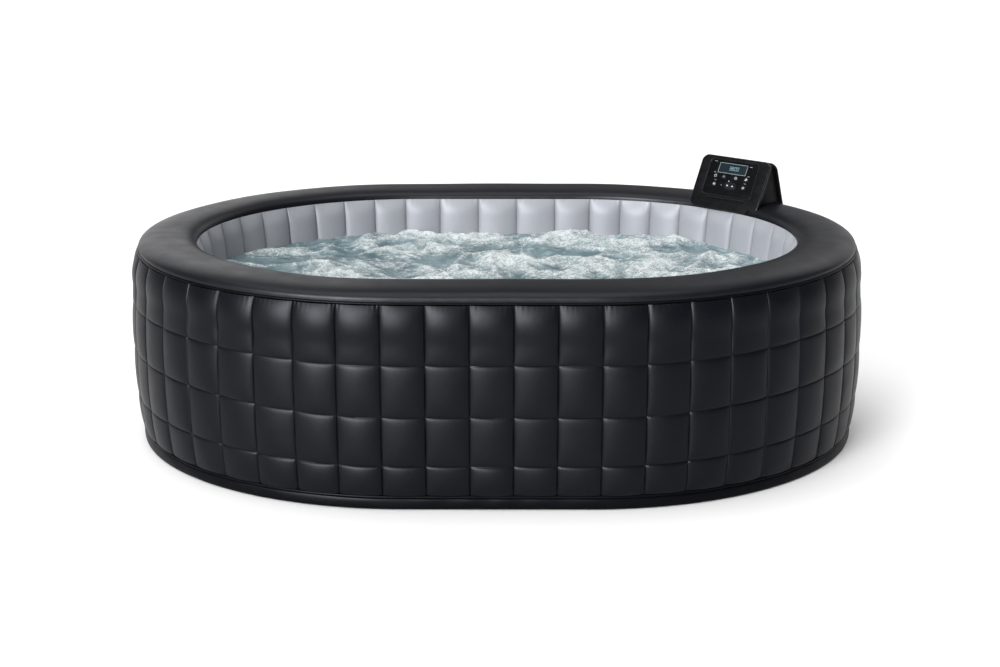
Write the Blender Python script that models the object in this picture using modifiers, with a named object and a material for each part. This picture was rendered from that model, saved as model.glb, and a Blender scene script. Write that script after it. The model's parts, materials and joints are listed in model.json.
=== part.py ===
"""Inflatable oval hot tub with a control box built into its wall.

Units are metres and Z is up. The length runs along X, the front faces -Y, and the origin
is on the ground under the middle of the tub. Sections of the wall are given as pairs of
(offset, height): the offset is measured outwards from the outer seam under the rim.
"""

import math

import bmesh
import bpy
from mathutils import Matrix, Vector

# Oval of the outer seam: two half ellipses joined by short straights
HALF_LENGTH = 1.145
HALF_WIDTH = 0.778
HALF_STRAIGHT = 0.270
END_REACH = HALF_LENGTH - HALF_STRAIGHT
STATIONS = 60
FINE_STEPS = 720

# Heights and thicknesses of the inflated wall
RIM_TOP = 0.650
RIM_WIDTH = 0.183
OUTER_SEAM_Z = 0.614
INNER_SEAM_Z = 0.621
ROW_HEIGHTS = (OUTER_SEAM_Z, 0.440, 0.286, 0.136, 0.040)
ROW_OFFSETS = (0.002, 0.018, 0.020, 0.020, 0.010)
ROW_BULGE = 0.008
VINYL = 0.002
WELT_HALF = 0.0045
GAP = 0.0005
RIM_STEPS = 6
RIM_CURL = 0.75
WALL_INSIDE = 0.205
LINER_LOW, LINER_HIGH = 0.012, 0.020
LINER_EDGE = 0.190
GROUND_SHEET = 0.003
FOOT_OFFSET = 0.004

# Upright webs that tie the two walls together
WEB_COUNT = 32
WEB_THICKNESS = 0.002
WEB_INSET = 0.003
WEB_OUTER, WEB_INNER = 0.012, 0.174
WEB_FOOT_LOW, WEB_FOOT_HIGH = 0.006, 0.009
WEB_TOP = 0.600

# Air channel round the floor
CHANNEL_TOP = 0.074
CHANNEL_REACH = 0.052
CHANNEL_SPARE = 0.0018
AIR_HOLE_RADIUS = 0.003
AIR_HOLE_COUNT = 18

# Control box: its own frame has x along the wall, y outwards and z up
CONTROL_PARAMETER = math.radians(44.1)
CONTROL_TURN = math.radians(-40.7)
BOX_HALF = 0.120
BOX_INNER_Y, BOX_OUTER_Y = -0.162, -0.004
BOX_LOW, BOX_HIGH = 0.0465, 0.640
BOX_FRONT_Y, BOX_FRONT_HIGH = 0.022, 0.616
BOX_WALL = 0.003
BOX_LIP = 0.014
POCKET_SPARE = 0.0015
PANEL_HALF, PANEL_LOW, PANEL_HIGH = 0.117, 0.0515, 0.611
PANEL_THICKNESS = 0.004
SCREW_INSET = 0.0085
INLET_X, INLET_Z = -0.080, 0.085
LEAD_X, LEAD_Y = 0.020, -0.120

# Water circuit inside the box
PUMP_X, PUMP_Z = -0.055, 0.150
PUMP_RADIUS = 0.045
PIPE_RADIUS = 0.013
PIPE_BORE = 0.010
LINE_Y = -0.125
HEATER_RADIUS = 0.024
HEATER_LOW, HEATER_HIGH = 0.2305, 0.490
RETURN_X, RETURN_Z = 0.080, 0.170

# Air circuit inside the box
BLOWER_X, BLOWER_Z = 0.032, 0.420
BLOWER_RADIUS = 0.052
BLOWER_INNER_Y, BLOWER_OUTER_Y = -0.095, -0.045
AIR_X, AIR_Y, AIR_RADIUS = 0.103, -0.068, 0.008
AIR_ENTRY_Z = 0.0582
CHECK_VALVE_LOW, CHECK_VALVE_HIGH = 0.250, 0.295

# Console on the rim: a slab leaning back over the tub, and a leg behind it
CONSOLE_HALF = 0.1385
SLAB_FOOT = Vector((0.0, -0.188, 0.638))
SLAB_TOP = Vector((0.0, -0.106, 0.795))
LEG_TOP = Vector((0.0, -0.071, 0.787))
LEG_FOOT = Vector((0.0, -0.014, 0.628))
SLAB_LENGTH = (SLAB_TOP - SLAB_FOOT).length
SLAB_LEAN = math.atan2(SLAB_TOP.z - SLAB_FOOT.z, SLAB_TOP.y - SLAB_FOOT.y)
SLAB_CORNER = 0.025
SLAB_THICKNESS = 0.012
LEG_THICKNESS = 0.008
SIDE_INSET = 0.008
CONSOLE_WALL = 0.003
GASKET = 0.0026

# Keypad on the slab: x across, y up the slab from its foot, z out of its face
KEYPAD_LOW, KEYPAD_HIGH = (-0.098, 0.039), (0.093, 0.160)
KEYPAD_CORNER = 0.008
KEYPAD_FRONT, KEYPAD_BACK = -0.0015, -0.0040
DISPLAY_LOW, DISPLAY_HIGH = (-0.060, 0.118), (0.051, 0.153)
BUTTON_RADIUS = 0.0088
BUTTONS = {
    "power_button": (-0.064, 0.104),
    "lock_button": (-0.030, 0.104),
    "timer_button": (0.019, 0.104),
    "bubble_button": (0.061, 0.104),
    "heater_button": (-0.060, 0.074),
    "temp_down_button": (-0.006, 0.074),
    "temp_up_button": (0.0145, 0.074),
    "filter_button": (0.059, 0.074),
}
LED_SPOT = (-0.032, 0.074)
BOARD_FRONT, BOARD_THICKNESS = -0.0122, 0.0016

# Filter inside the tub, in front of the pump
FILTER_RADIUS = 0.056
FILTER_NEAR_Y, FILTER_FAR_Y = -0.2255, -0.325
PLEATS = 18

# Fittings in the straight part of the back wall
DRAIN_X, DRAIN_Y, DRAIN_Z = -0.150, 0.035, 0.098
DRAIN_END = -0.2140 - DRAIN_Y
DRAIN_RADIUS, DRAIN_BORE = 0.017, 0.014
VALVE_X, VALVE_Y, VALVE_Z = 0.120, 0.034, 0.202
VALVE_RADIUS, VALVE_BORE = 0.020, 0.0165

OUTWARD = Matrix.Rotation(math.radians(-90), 4, "X")

for old in list(bpy.data.objects):
    bpy.data.objects.remove(old, do_unlink=True)

PARTS = bpy.data.collections.new("inflatable_hot_tub")
CUTTERS = bpy.data.collections.new("cutters")
bpy.context.scene.collection.children.link(PARTS)
bpy.context.scene.collection.children.link(CUTTERS)


def make_material(name, colour, roughness, metallic=0.0):
    """A Principled material of one colour."""
    material = bpy.data.materials.new(name)
    material.use_nodes = True
    shader = material.node_tree.nodes["Principled BSDF"]
    shader.inputs["Base Color"].default_value = (*colour, 1.0)
    shader.inputs["Roughness"].default_value = roughness
    shader.inputs["Metallic"].default_value = metallic
    return material


BLACK_VINYL = make_material("black_vinyl", (0.012, 0.013, 0.016), 0.38)
GREY_VINYL = make_material("grey_vinyl", (0.62, 0.63, 0.66), 0.45)
WEB_VINYL = make_material("web_vinyl", (0.30, 0.30, 0.32), 0.60)
FOAM = make_material("foam_mat", (0.20, 0.21, 0.22), 0.90)
BLACK_PLASTIC = make_material("black_plastic", (0.020, 0.020, 0.022), 0.45)
GLOSS_PLASTIC = make_material("gloss_plastic", (0.008, 0.008, 0.010), 0.15)
GREY_PLASTIC = make_material("grey_plastic", (0.35, 0.36, 0.38), 0.50)
WHITE_PLASTIC = make_material("white_plastic", (0.75, 0.76, 0.78), 0.45)
STEEL = make_material("steel", (0.60, 0.60, 0.62), 0.30, 1.0)
MOTOR_PAINT = make_material("motor_paint", (0.05, 0.06, 0.07), 0.50)
RUBBER = make_material("rubber", (0.015, 0.015, 0.015), 0.80)
CIRCUIT = make_material("circuit_board", (0.02, 0.16, 0.08), 0.50)
SCREEN = make_material("screen", (0.03, 0.09, 0.11), 0.10)
FILTER_PAPER = make_material("filter_paper", (0.80, 0.82, 0.86), 0.90)


def keep(item, material):
    """Take an object into the tub's own collection with its material."""
    PARTS.objects.link(item)
    item.data.materials.clear()
    item.data.materials.append(material)
    return item


def tool(item):
    """Take an object in as a cutter, drawn as a wire and never rendered."""
    CUTTERS.objects.link(item)
    item.hide_render = True
    item.display_type = "WIRE"
    return item


def combine(item, other, operation):
    """Add an exact Boolean of another mesh to an object."""
    modifier = item.modifiers.new(operation.lower(), "BOOLEAN")
    modifier.operation = operation
    modifier.object = other
    modifier.solver = "EXACT"
    return item


def thicken(item, thickness):
    """Give an open surface a thickness behind its faces."""
    modifier = item.modifiers.new("thickness", "SOLIDIFY")
    modifier.thickness = thickness
    modifier.offset = -1.0
    modifier.use_even_offset = True
    return item


def smooth(item):
    """Shade a round piece smooth, apart from its real edges."""
    item.data.shade_smooth()
    item.data.set_sharp_from_angle(angle=math.radians(35))
    return item


def mesh_object(name, build, frame):
    """An object whose mesh is filled by a function that is handed a bmesh."""
    mesh = bpy.data.meshes.new(name)
    shape = bmesh.new()
    build(shape)
    bmesh.ops.recalc_face_normals(shape, faces=shape.faces)
    shape.to_mesh(mesh)
    shape.free()
    item = bpy.data.objects.new(name, mesh)
    item.matrix_world = frame
    return item


def block(name, low, high, frame):
    """A box between two corners of a frame."""
    middle = (Vector(low) + Vector(high)) / 2
    size = Vector(high) - Vector(low)
    shape = Matrix.Translation(middle) @ Matrix.Diagonal((*size, 1.0))
    return mesh_object(name, lambda bm: bmesh.ops.create_cube(bm, size=1.0, matrix=shape), frame)


def turned(name, profile, frame, sides=16, closed=False):
    """A profile of (radius, height), outer side downwards, turned about the frame's Z."""
    mesh = bpy.data.meshes.new(name)
    edges = [(i, i + 1) for i in range(len(profile) - 1)]
    if closed:
        edges.append((len(profile) - 1, 0))
    mesh.from_pydata([(radius, 0.0, height) for radius, height in profile], edges, [])
    item = bpy.data.objects.new(name, mesh)
    item.matrix_world = frame
    screw = item.modifiers.new("turn", "SCREW")
    screw.steps = sides
    screw.render_steps = sides
    screw.use_merge_vertices = True
    screw.merge_threshold = 0.0001
    screw.use_smooth_shade = False
    return item


def rod(name, radius, low, high, frame, sides=16):
    """A plain round bar along the frame's Z."""
    return turned(name, [(0, high), (radius, high), (radius, low), (0, low)], frame, sides)


def pipe(name, radius, bore, low, high, frame, sides=16):
    """A straight round tube along the frame's Z."""
    profile = [(radius, high), (radius, low), (bore, low), (bore, high)]
    return turned(name, profile, frame, sides, closed=True)


def curve_object(name, points, cyclic, dimensions="3D"):
    """A curve with one straight-sided spline."""
    curve = bpy.data.curves.new(name, "CURVE")
    curve.dimensions = dimensions
    spline = curve.splines.new("POLY")
    spline.points.add(len(points) - 1)
    for target, point in zip(spline.points, points):
        target.co = (*Vector(point).to_3d(), 1.0)
    spline.use_cyclic_u = cyclic
    item = bpy.data.objects.new(name, curve)
    bpy.context.scene.collection.objects.link(item)
    return item


def as_mesh(item, frame, closed):
    """Turn a curve object into a mesh object and drop the curve."""
    bpy.context.view_layer.update()
    seen = item.evaluated_get(bpy.context.evaluated_depsgraph_get())
    mesh = bpy.data.meshes.new_from_object(seen)
    name = item.name
    bpy.data.objects.remove(item, do_unlink=True)
    shape = bmesh.new()
    shape.from_mesh(mesh)
    bmesh.ops.remove_doubles(shape, verts=shape.verts, dist=0.00001)
    if closed:
        bmesh.ops.recalc_face_normals(shape, faces=shape.faces)
    shape.to_mesh(mesh)
    shape.free()
    solid = bpy.data.objects.new(name, mesh)
    solid.matrix_world = frame
    return solid


def plate(name, outline, low, high, frame):
    """A flat outline between two heights of a frame."""
    item = curve_object(name, outline, True, "2D")
    item.data.fill_mode = "BOTH"
    item.data.extrude = (high - low) / 2
    return as_mesh(item, frame @ Matrix.Translation((0, 0, (low + high) / 2)), True)


def rounded_outline(low, high, radius, steps=5):
    """A rectangle with round corners, anticlockwise."""
    corners = (
        (high[0] - radius, high[1] - radius, 0),
        (low[0] + radius, high[1] - radius, 90),
        (low[0] + radius, low[1] + radius, 180),
        (high[0] - radius, low[1] + radius, 270),
    )
    points = []
    for x, y, start in corners:
        for step in range(steps + 1):
            turn = math.radians(start + 90 * step / steps)
            points.append((x + radius * math.cos(turn), y + radius * math.sin(turn)))
    return points


def bent_route(corners, radius, steps=3):
    """A route through corner points, each corner rounded by a curve."""
    points = [Vector(corners[0])]
    for before, corner, after in zip(corners, corners[1:], corners[2:]):
        corner = Vector(corner)
        start = corner + (Vector(before) - corner).normalized() * radius
        end = corner + (Vector(after) - corner).normalized() * radius
        for step in range(steps + 1):
            t = step / steps
            points.append(start * (1 - t) ** 2 + corner * 2 * t * (1 - t) + end * t ** 2)
    points.append(Vector(corners[-1]))
    return points


def hose(name, corners, bend, radius, frame, wall=None):
    """A bent tube: hollow where a wall is given, otherwise solid with flat ends."""
    item = curve_object(name, bent_route(corners, bend), False)
    item.data.bevel_depth = radius
    item.data.bevel_resolution = 2
    item.data.use_fill_caps = wall is None
    solid = as_mesh(item, frame, wall is None)
    if wall is not None:
        thicken(solid, wall)
    return smooth(solid)


def seam_oval():
    """A fine outline of the outer seam, anticlockwise from the middle of the front."""
    outline = [Vector((0.0, -HALF_WIDTH))]
    for step in range(FINE_STEPS):
        turn = 2 * math.pi * (step + 0.5) / FINE_STEPS - math.pi / 2
        x = math.copysign(HALF_STRAIGHT, math.cos(turn)) + END_REACH * math.cos(turn)
        outline.append(Vector((x, HALF_WIDTH * math.sin(turn))))
    outline.append(outline[0])
    return outline


SEAM = seam_oval()
SEAM_RUN = [0.0]
for first, second in zip(SEAM, SEAM[1:]):
    SEAM_RUN.append(SEAM_RUN[-1] + (second - first).length)


def seam_point(run):
    """Point and outward direction at a length along the outer seam."""
    run %= SEAM_RUN[-1]
    index = next(i for i, end in enumerate(SEAM_RUN[1:]) if end >= run)
    along = SEAM[index + 1] - SEAM[index]
    point = SEAM[index] + along * ((run - SEAM_RUN[index]) / along.length)
    return point, Vector((along.y, -along.x)).normalized()


def oval(stations, offset=0.0):
    """Evenly spaced points round the tub at an offset from the outer seam."""
    points = []
    for station in range(stations):
        point, outward = seam_point(SEAM_RUN[-1] * station / stations)
        points.append(point + outward * offset)
    return points


def swept(name, section, closed):
    """Carry a section of (offset, height) round the tub."""
    guide = curve_object(name + "_section", section, closed)
    route = curve_object(name, oval(STATIONS), True)
    route.data.twist_mode = "Z_UP"
    route.data.bevel_mode = "OBJECT"
    route.data.bevel_object = guide
    ring = as_mesh(route, Matrix(), closed)
    bpy.data.objects.remove(guide, do_unlink=True)
    return smooth(ring)


def quilted_section():
    """Outer wall from top to bottom: one bulge in each quilted row, then the plain foot."""
    top = ROW_HEIGHTS[0] - WELT_HALF - GAP
    points = [(ROW_OFFSETS[0], top)]
    for row in range(len(ROW_HEIGHTS) - 1):
        middle = (ROW_HEIGHTS[row] + ROW_HEIGHTS[row + 1]) / 2
        offset = (ROW_OFFSETS[row] + ROW_OFFSETS[row + 1]) / 2
        points.append((offset + ROW_BULGE, middle))
        points.append((ROW_OFFSETS[row + 1], ROW_HEIGHTS[row + 1]))
    points.append((FOOT_OFFSET, GROUND_SHEET + GAP))
    return points


def rim_section(spare=0.0):
    """Arch of the rim from its inner edge over the top to its outer edge."""
    half = RIM_WIDTH / 2 + spare
    points = []
    for step in range(RIM_STEPS + 1):
        turn = math.pi * (1 - step / RIM_STEPS)
        across = math.copysign(abs(math.cos(turn)) ** RIM_CURL, math.cos(turn))
        seam = INNER_SEAM_Z + GAP if across < 0 else OUTER_SEAM_Z + WELT_HALF + GAP
        rise = (RIM_TOP + spare - seam) * math.sin(turn) ** RIM_CURL
        points.append((half * across - RIM_WIDTH / 2, seam + rise))
    return points


def rim_solid(name, spare):
    """Everything under the rim's arch, for cutting what stands on it."""
    arch = rim_section(spare)
    low = OUTER_SEAM_Z - 0.1
    return tool(swept(name, arch + [(arch[-1][0], low), (arch[0][0], low)], True))


def inner_section():
    """Inner wall from the floor up to the inner seam."""
    top = INNER_SEAM_Z - GAP
    return [
        (-WALL_INSIDE, LINER_HIGH + GAP),
        (-WALL_INSIDE, 0.200),
        (-WALL_INSIDE + 0.004, 0.480),
        (-RIM_WIDTH, top),
    ]


def make_walls(pocket, drain_hole, valve_hole, wall_ports):
    """The two walls and the rim of the air chamber."""
    outer = keep(swept("outer_wall", quilted_section(), False), BLACK_VINYL)
    thicken(outer, VINYL)
    for cutter in (pocket, drain_hole, valve_hole):
        combine(outer, cutter, "DIFFERENCE")

    inner = keep(swept("inner_wall", inner_section(), False), GREY_VINYL)
    thicken(inner, VINYL)
    for cutter in (drain_hole, wall_ports):
        combine(inner, cutter, "DIFFERENCE")

    rim = keep(swept("rim_ring", rim_section(), False), BLACK_VINYL)
    thicken(rim, VINYL)
    combine(rim, pocket, "DIFFERENCE")


def make_welts(pocket):
    """The two welded piping cords: one in the seam under the rim, one round the wall's foot."""
    places = {
        "outer_welt": (0.0, OUTER_SEAM_Z),
        "base_welt": (ROW_OFFSETS[-1] + WELT_HALF + GAP, ROW_HEIGHTS[-1]),
    }
    for name, (offset, height) in places.items():
        section = [
            (offset + WELT_HALF * math.cos(turn), height + WELT_HALF * math.sin(turn))
            for turn in (0, math.pi / 2, math.pi, math.pi * 3 / 2)
        ]
        ring = keep(swept(name, section, True), BLACK_VINYL)
        if name == "outer_welt":
            combine(ring, pocket, "DIFFERENCE")


def make_floor():
    """Ground sheet under the whole tub, the foam mat on it and the liner's floor."""
    sheet = plate("ground_sheet", oval(STATIONS, FOOT_OFFSET), 0.0, GROUND_SHEET, Matrix())
    keep(sheet, RUBBER)
    mat_outline = oval(STATIONS, -LINER_EDGE)
    keep(plate("floor_mat", mat_outline, GROUND_SHEET + GAP, LINER_LOW - GAP, Matrix()), FOAM)
    keep(plate("floor_liner", mat_outline, LINER_LOW, LINER_HIGH, Matrix()), GREY_VINYL)


def make_webs(control_run):
    """All the tie webs, standing on one ring at the bottom of the chamber."""
    total = SEAM_RUN[-1]
    clear = [(control_run, 0.17)]
    for x in (DRAIN_X, VALVE_X):
        clear.append((total / 2 - x, 0.04))
    section = [
        (-WEB_OUTER, WEB_FOOT_LOW),
        (-WEB_OUTER, WEB_FOOT_HIGH),
        (-WEB_INNER, WEB_FOOT_HIGH),
        (-WEB_INNER, WEB_FOOT_LOW),
    ]
    webs = keep(swept("tie_webs", section, True), WEB_VINYL)

    def uprights(shape):
        low = (WEB_FOOT_LOW + WEB_FOOT_HIGH) / 2
        wide = WEB_INNER - WEB_OUTER - 2 * WEB_INSET
        size = Matrix.Diagonal((WEB_THICKNESS, wide, WEB_TOP - low, 1.0))
        for web in range(WEB_COUNT):
            run = total * (web + 0.5) / WEB_COUNT
            if any(abs(run - place) < spare for place, spare in clear):
                continue
            point, outward = seam_point(run)
            centre = point - outward * (WEB_OUTER + WEB_INNER) / 2
            turn = Matrix.Rotation(math.atan2(outward.y, outward.x) - math.pi / 2, 4, "Z")
            place = Matrix.Translation((*centre, (WEB_TOP + low) / 2)) @ turn
            bmesh.ops.create_cube(shape, size=1.0, matrix=place @ size)

    combine(webs, tool(mesh_object("web_uprights", uprights, Matrix())), "UNION")


def make_air_channel():
    """Quarter-round channel round the floor, with a ring of air holes."""
    wall = -WALL_INSIDE - CHANNEL_SPARE
    low = LINER_HIGH + CHANNEL_SPARE
    rise = CHANNEL_TOP - low
    section = []
    for step in range(4):
        turn = math.radians(90 * (1 - step / 3))
        offset = wall - CHANNEL_REACH * math.cos(turn)
        section.append((offset, low + rise * math.sin(turn)))
    section.reverse()
    channel = keep(swept("air_channel", section, False), GREY_VINYL)
    thicken(channel, VINYL)

    def holes(shape):
        slant = Matrix.Rotation(math.radians(45), 4, "X")
        for hole in range(AIR_HOLE_COUNT):
            run = SEAM_RUN[-1] * (hole + 0.5) / AIR_HOLE_COUNT
            point, outward = seam_point(run)
            centre = point + outward * (wall - CHANNEL_REACH * 0.70)
            turn = Matrix.Rotation(math.atan2(outward.y, outward.x) - math.pi / 2, 4, "Z")
            place = Matrix.Translation((*centre, low + rise * 0.70)) @ turn @ slant
            bmesh.ops.create_cone(
                shape, cap_ends=True, segments=6, radius1=AIR_HOLE_RADIUS,
                radius2=AIR_HOLE_RADIUS, depth=0.016, matrix=place,
            )

    combine(channel, tool(mesh_object("air_holes", holes, Matrix())), "DIFFERENCE")


def box_outline(inset):
    """Side view of the control box as (y, z): tall behind, stepped down in front of the rim."""
    return [
        (BOX_INNER_Y + inset, BOX_LOW + inset),
        (BOX_FRONT_Y - inset, BOX_LOW + inset),
        (BOX_FRONT_Y - inset, BOX_FRONT_HIGH - inset),
        (BOX_OUTER_Y - inset, BOX_FRONT_HIGH - inset),
        (BOX_OUTER_Y - inset, BOX_HIGH - inset),
        (BOX_INNER_Y + inset, BOX_HIGH - inset),
    ]


def make_control_box(frame):
    """Box in the wall's pocket, its outer panel and the screws that hold it."""
    shell = side_prism("control_box_shell", box_outline(0.0), BOX_HALF, frame)
    keep(shell, BLACK_PLASTIC)
    inside = side_prism("box_inside", box_outline(BOX_WALL), BOX_HALF - BOX_WALL, frame)
    combine(shell, tool(inside), "DIFFERENCE")
    mouth_low = (-BOX_HALF + BOX_LIP, BOX_FRONT_Y - 0.02, BOX_LOW + BOX_LIP)
    mouth_high = (BOX_HALF - BOX_LIP, BOX_FRONT_Y + 0.02, BOX_FRONT_HIGH - BOX_LIP)
    combine(shell, tool(block("box_mouth", mouth_low, mouth_high, frame)), "DIFFERENCE")

    back = BOX_FRONT_Y + GAP
    outline = rounded_outline((-PANEL_HALF, PANEL_LOW), (PANEL_HALF, PANEL_HIGH), 0.012, 3)
    upright = frame @ Matrix.Rotation(math.radians(90), 4, "X")
    panel = plate("service_panel", outline, -back - PANEL_THICKNESS, -back, upright)
    keep(panel, BLACK_PLASTIC)

    def vents(shape):
        size = Matrix.Diagonal((0.08, 0.05, 0.005, 1))
        for slot in range(6):
            place = Matrix.Translation((BLOWER_X, BOX_FRONT_Y, BLOWER_Z - 0.030 + 0.012 * slot))
            bmesh.ops.create_cube(shape, size=1.0, matrix=place @ size)

    combine(panel, tool(mesh_object("panel_vents", vents, frame)), "DIFFERENCE")
    inlet = frame @ Matrix.Translation((INLET_X, BOX_FRONT_Y, INLET_Z)) @ OUTWARD
    combine(panel, tool(rod("inlet_hole", 0.0105, -0.03, 0.03, inlet)), "DIFFERENCE")

    number = 0
    for height in (PANEL_LOW + SCREW_INSET, PANEL_HIGH - SCREW_INSET):
        for side in (-1, 1):
            number += 1
            spot = (side * (PANEL_HALF - SCREW_INSET), back + PANEL_THICKNESS, height)
            place = frame @ Matrix.Translation(spot) @ OUTWARD
            hole = tool(rod(f"screw_hole_{number}", 0.0023, -0.020, 0.020, place, 8))
            combine(shell, hole, "DIFFERENCE")
            combine(panel, hole, "DIFFERENCE")
            head = [
                (0, 0.0025), (0.003, 0.0025), (0.004, 0.0015), (0.004, GAP),
                (0.0018, GAP), (0.0018, -0.012), (0, -0.012),
            ]
            keep(smooth(turned(f"panel_screw_{number}", head, place, 10)), STEEL)
    return shell


def make_water_circuit(frame, shell):
    """Suction pipe, pump, heater and return pipe, in the order the water takes."""
    pump = frame @ Matrix.Translation((PUMP_X, 0, PUMP_Z)) @ OUTWARD
    keep(pipe("suction_pipe", PIPE_RADIUS, PIPE_BORE, -0.2235, -0.1475, pump), GREY_PLASTIC)
    combine(shell, tool(rod("suction_port", PIPE_RADIUS + GAP, -0.18, -0.15, pump)), "DIFFERENCE")

    outer, wall = PUMP_RADIUS, 0.003
    volute = turned(
        "pump_volute",
        [
            (outer, -0.106), (outer, -0.142), (PIPE_RADIUS, -0.142), (PIPE_RADIUS, -0.147),
            (PIPE_BORE, -0.147), (PIPE_BORE, -0.139), (outer - wall, -0.139), (outer - wall, -0.106),
        ],
        pump, 20, closed=True,
    )
    keep(smooth(volute), BLACK_PLASTIC)
    up = frame @ Matrix.Translation((PUMP_X, LINE_Y, 0))
    stub = rod("volute_stub", PIPE_RADIUS, PUMP_Z + outer - 0.004, HEATER_LOW - GAP, up)
    combine(volute, tool(stub), "UNION")
    throat = rod("volute_throat", PIPE_BORE, PUMP_Z + outer - 0.020, HEATER_LOW + 0.01, up)
    combine(volute, tool(throat), "DIFFERENCE")

    shaft_end = -0.095
    impeller = rod("pump_impeller", 0.034, -0.115, -0.112, pump, 20)
    keep(smooth(impeller), GREY_PLASTIC)
    combine(impeller, tool(rod("impeller_shaft", 0.004, -0.118, shaft_end, pump, 10)), "UNION")

    def vanes(shape):
        for vane in range(6):
            turn = Matrix.Rotation(math.radians(60 * vane), 4, "Z")
            place = turn @ Matrix.Translation((0.021, 0, -0.121))
            size = Matrix.Diagonal((0.022, 0.002, 0.014, 1))
            bmesh.ops.create_cube(shape, size=1.0, matrix=place @ size)

    combine(impeller, tool(mesh_object("impeller_vanes", vanes, pump)), "UNION")

    motor_profile = [(0, -0.022), (0.030, -0.022), (0.036, -0.028)]
    for rib in range(2):
        top = -0.038 - 0.028 * rib
        motor_profile += [(0.036, top), (0.040, top), (0.040, top - 0.014), (0.036, top - 0.014)]
    motor_profile += [(0.036, -0.098), (0.044, -0.098), (0.044, -0.1055), (0.0045, -0.1055)]
    motor_profile += [(0.0045, -0.090), (0, -0.090)]
    keep(smooth(turned("pump_motor", motor_profile, pump)), MOTOR_PAINT)

    neck, shoulder = 0.012, 0.012
    outside = [(PIPE_RADIUS, HEATER_HIGH), (PIPE_RADIUS, HEATER_HIGH - neck)]
    outside += [(HEATER_RADIUS, HEATER_HIGH - neck - shoulder)]
    outside += [(HEATER_RADIUS, HEATER_LOW + neck + shoulder)]
    outside += [(PIPE_RADIUS, HEATER_LOW + neck), (PIPE_RADIUS, HEATER_LOW)]
    inside = [(radius - 0.0025, height) for radius, height in reversed(outside)]
    heater = keep(smooth(turned("heater_tube", outside + inside, up, closed=True)), STEEL)
    side = up @ Matrix.Translation((0, 0, 0.300)) @ OUTWARD
    combine(heater, tool(rod("terminal_hole", 0.0045, 0.010, 0.040, side, 8)), "DIFFERENCE")
    element = keep(smooth(rod("heating_element", 0.005, 0.265, 0.455, up, 10)), STEEL)
    combine(element, tool(rod("element_terminal", 0.0035, 0.001, 0.034, side, 8)), "UNION")

    corners = [
        (PUMP_X, LINE_Y, HEATER_HIGH + GAP),
        (PUMP_X, LINE_Y, 0.532),
        (RETURN_X, LINE_Y, 0.532),
        (RETURN_X, LINE_Y, RETURN_Z),
        (RETURN_X, -0.2230, RETURN_Z),
    ]
    keep(hose("return_pipe", corners, 0.026, PIPE_RADIUS - 0.001, frame, 0.0025), GREY_PLASTIC)
    port = frame @ Matrix.Translation((RETURN_X, 0, RETURN_Z)) @ OUTWARD
    combine(shell, tool(rod("return_port", PIPE_RADIUS, -0.18, -0.15, port)), "DIFFERENCE")


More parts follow.
